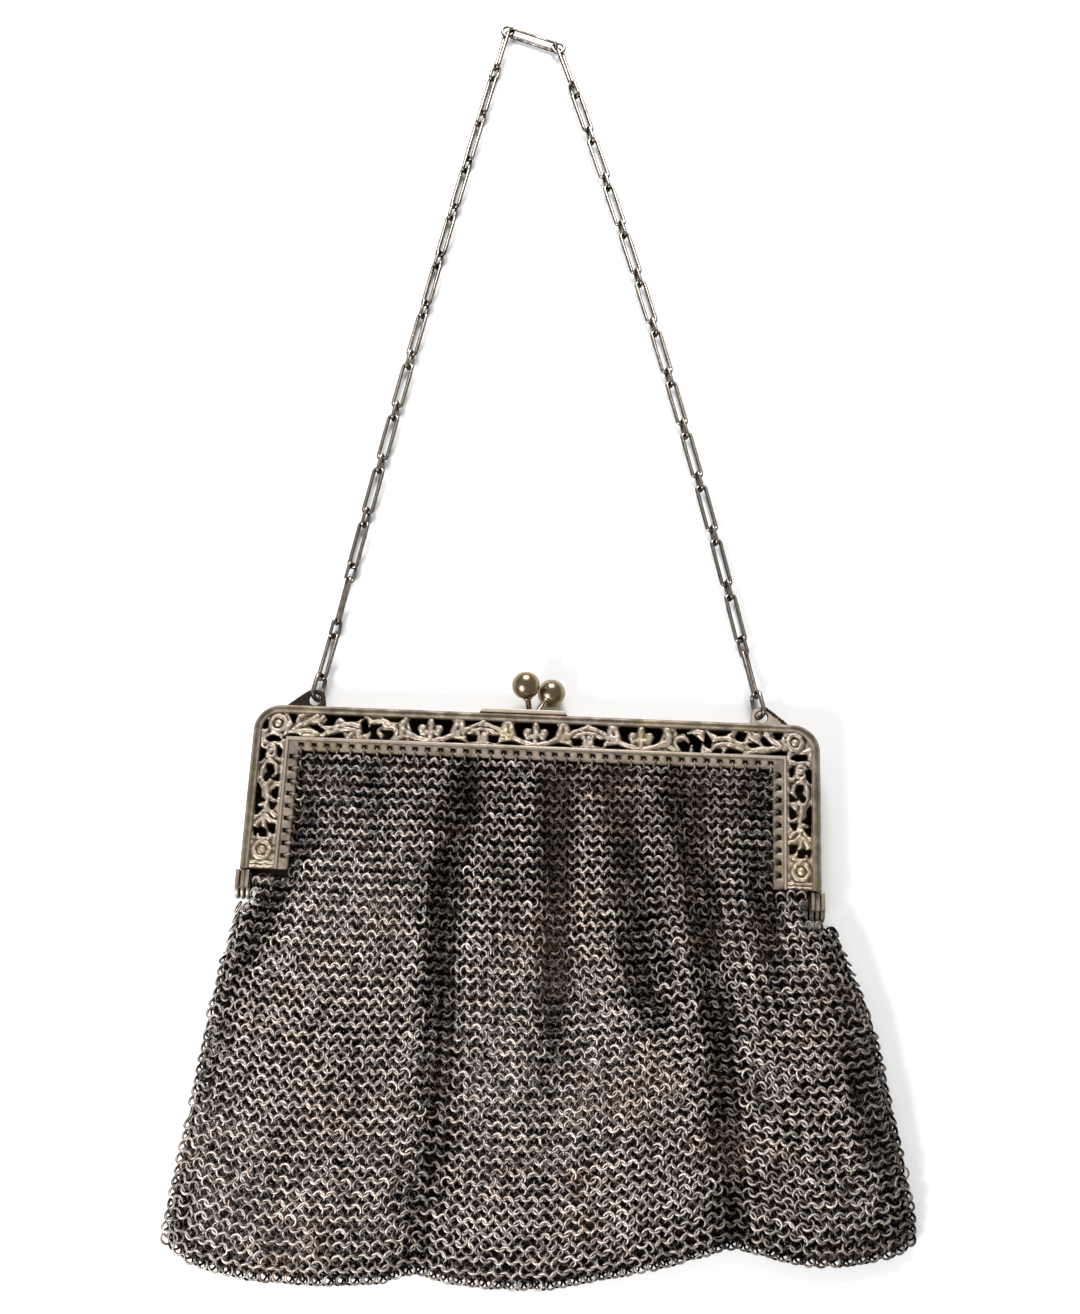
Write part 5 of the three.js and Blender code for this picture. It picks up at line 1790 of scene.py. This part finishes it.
        # Painted shade on the half of each ring that faces into the pouch, and painted light on its outer
        # half through the worn mask.
        painted_ring_shade = np.clip(0.65 * hollow + np.clip(0.5 - outwards / 1.1, 0, 1), 0, 1)
        worn = np.clip(0.5 + outwards / 1.6, 0, 1) * (1 - 0.6 * hollow)
        points = points[keep]
        per_ring = steps * sides
        pattern = grid_faces(steps, sides, close_rows=True, close_columns=True)[:, ::-1]
        offsets = np.arange(len(points))[:, None, None] * per_ring
        faces = (pattern[None] + offsets).reshape(-1, 4)
        parts = MeshParts()
        parts.add(points.reshape(-1, 3), faces, tone=np.repeat(tone[keep], per_ring),
                  hollow=painted_ring_shade[keep].ravel(), worn=worn[keep].ravel())
        return parts

    def _hangers(self, front: FrameFront) -> MeshParts:
        """The rings that pass through the frame's square holes and round the strip's edge.

        Args:
            front: The frame's front half, which has the holes.

        Returns:
            The rings.
        """
        parts = MeshParts()
        turn = np.arange(14) / 14 * 2 * math.pi
        radius = self.hanger_radius
        middle = front.plate_top - front.plate / 2
        for x, y in front.hole_centres():
            wobble = self.random.normal(0, 0.12)
            if abs(y - (front.top_y - front.hole_depth)) < 0.01:
                inward = np.array([wobble, -1.0, 0.0])
            else:
                inward = np.array([-math.copysign(1.0, x), wobble, 0.0])
            inward = unit(inward)
            centre = np.array([x, y, middle]) + inward * (radius + self.hanger_wire)
            circle = (centre + np.cos(turn)[:, None] * inward * radius
                      + np.sin(turn)[:, None] * np.array([0, 0, radius]))
            tone = float(self.random.uniform(0.2, 0.7))
            wire(parts, circle, self.hanger_wire, 6, True, tone=tone, hollow=0.6)
        return parts

    def build(self, material: bpy.types.Material, front: FrameFront) -> List[bpy.types.Object]:
        """Builds both sheets in place of the plain solid pouch.

        Args:
            material: The rings' finish.
            front: The frame's front half, whose holes carry the mesh.

        Returns:
            The pieces.
        """
        thirds = ((0.0, 0.34), (0.34, 0.67), (0.67, 1.01))
        halves = ((0.0, 0.5), (0.5, 1.01))
        made = []
        for name, span in zip(("upper", "middle", "lower"), thirds):
            parts = self._rings(self._front, self.front_facets, span, 1.0)
            made.append(parts.piece(f"front_rings_{name}", [material]))
        for name, span in zip(("upper", "lower"), halves):
            parts = self._rings(self._back, self.back_facets, span, -1.0)
            made.append(parts.piece(f"back_rings_{name}", [material]))
        made.append(self._hangers(front).piece("hanging_rings", [material]))
        for piece in made:
            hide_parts("pouch")
        return made


# The studio


@dataclass(frozen=True)
class SoftLight:
    """A square soft box that faces the purse."""

    name: str
    place: Tuple[float, float, float]
    target: Tuple[float, float, float]
    size: float
    watts: float

    def build(self) -> bpy.types.Object:
        """Hangs the light."""
        data = bpy.data.lights.new(self.name, "AREA")
        data.shape = "SQUARE"
        data.size = self.size
        data.energy = self.watts
        lamp = bpy.data.objects.new(self.name, data)
        lamp.location = self.place
        facing = Vector(self.target) - Vector(self.place)
        lamp.rotation_euler = facing.to_track_quat("-Z", "Y").to_euler()
        bpy.context.scene.collection.objects.link(lamp)
        return lamp


@dataclass
class Studio:
    """The pale floor, the soft light and the camera. Its own lengths are in metres."""

    camera_place: Tuple[float, float, float] = (0.00713, -0.14668, 0.47643)
    camera_target: Tuple[float, float, float] = (-0.00013, 0.02657, 0.0)
    camera_right: Tuple[float, float, float] = (0.99912, 0.04189, 0.0)
    lens: float = 49.82
    floor_size: float = 12.0
    world: float = 0.35
    lights: Tuple[SoftLight, ...] = (
        SoftLight("key", (-0.53, -0.63, 0.56), (0, 0.03, 0), 0.3, 12.0),
        SoftLight("back", (0.0, 0.85, 0.68), (0, 0.03, 0), 0.5, 13.0),
    )

    def build(self) -> None:
        """Sets up the floor, the light and the camera."""
        self._floor()
        for light in self.lights:
            light.build()
        world = bpy.data.worlds.new("studio")
        world.use_nodes = True
        back = world.node_tree.nodes["Background"]
        back.inputs["Color"].default_value = (1, 1, 1, 1)
        back.inputs["Strength"].default_value = self.world
        bpy.context.scene.world = world
        bpy.context.scene.view_settings.view_transform = "Standard"
        self._camera()

    def _floor(self) -> None:
        """Lays the floor."""
        half = self.floor_size / 2
        mesh = bpy.data.meshes.new("floor")
        corners = [(-half, -half, 0), (half, -half, 0), (half, half, 0), (-half, half, 0)]
        mesh.from_pydata(corners, [], [(0, 1, 2, 3)])
        floor = bpy.data.objects.new("floor", mesh)
        bpy.context.scene.collection.objects.link(floor)
        paper = bpy.data.materials.new("pale_paper")
        paper.use_nodes = True
        shader = paper.node_tree.nodes["Principled BSDF"]
        shader.inputs["Base Color"].default_value = (0.93, 0.93, 0.93, 1)
        shader.inputs["Roughness"].default_value = 0.9
        mesh.materials.append(paper)

    def _camera(self) -> None:
        """Places the camera, with the purse turned a little as in the photograph."""
        data = bpy.data.cameras.new("camera")
        data.sensor_fit = "VERTICAL"
        data.sensor_height = 36
        data.lens = self.lens
        data.clip_start = 0.01
        camera = bpy.data.objects.new("camera", data)
        back = (Vector(self.camera_place) - Vector(self.camera_target)).normalized()
        right = Vector(self.camera_right)
        right = (right - back * right.dot(back)).normalized()
        up = back.cross(right)
        turn = Matrix((right, up, back)).transposed().to_4x4()
        camera.matrix_world = Matrix.Translation(self.camera_place) @ turn
        bpy.context.scene.collection.objects.link(camera)
        bpy.context.scene.camera = camera


# The whole purse


def report(piece: bpy.types.Object) -> None:
    """Logs what a piece is and how many triangles it has.

    Args:
        piece: The piece.
    """
    piece.data.calc_loop_triangles()
    log.info("%s: %d triangles", piece.name, len(piece.data.loop_triangles))


def main() -> None:
    """Builds the purse piece by piece, then the studio round it."""
    logging.basicConfig(level=logging.INFO, format="%(message)s")
    effects = Effects()
    frame_silver = FRAME_FINISH.material(effects)
    clasp_silver = CLASP_FINISH.material(effects)
    chain_silver = CHAIN_FINISH.material(effects)
    ring_mesh = MESH_FINISH.material(effects)
    front = FrameFront()
    report(front.build(frame_silver))
    report(FrameBack().build(frame_silver, front))
    for side in Side:
        report(Hinge(side).build(frame_silver))
    halves = (
        ClaspHalf("clasp_front", saddle_x=(-15.5, 8), saddle_z=(6.1, 10.7),
                  arm=[(-0.3, 7, 8.3), (1.2, 10, 7)], ball=(3.5, 14.6, 4.1), warm=0.15),
        ClaspHalf("clasp_back", saddle_x=(-11, 5), saddle_z=(0.6, 4.6),
                  arm=[(-2.1, 7, 2.8), (-2.4, 9.6, 4)], ball=(-3.5, 15.2, 8.3), warm=0.45),
    )
    for half in halves:
        report(half.build(clasp_silver, frame_silver))
    report(Chain().build(chain_silver))
    for sheet in Pouch().build(ring_mesh, front):
        report(sheet)
    Studio().build()


if __name__ == "__main__":
    main()
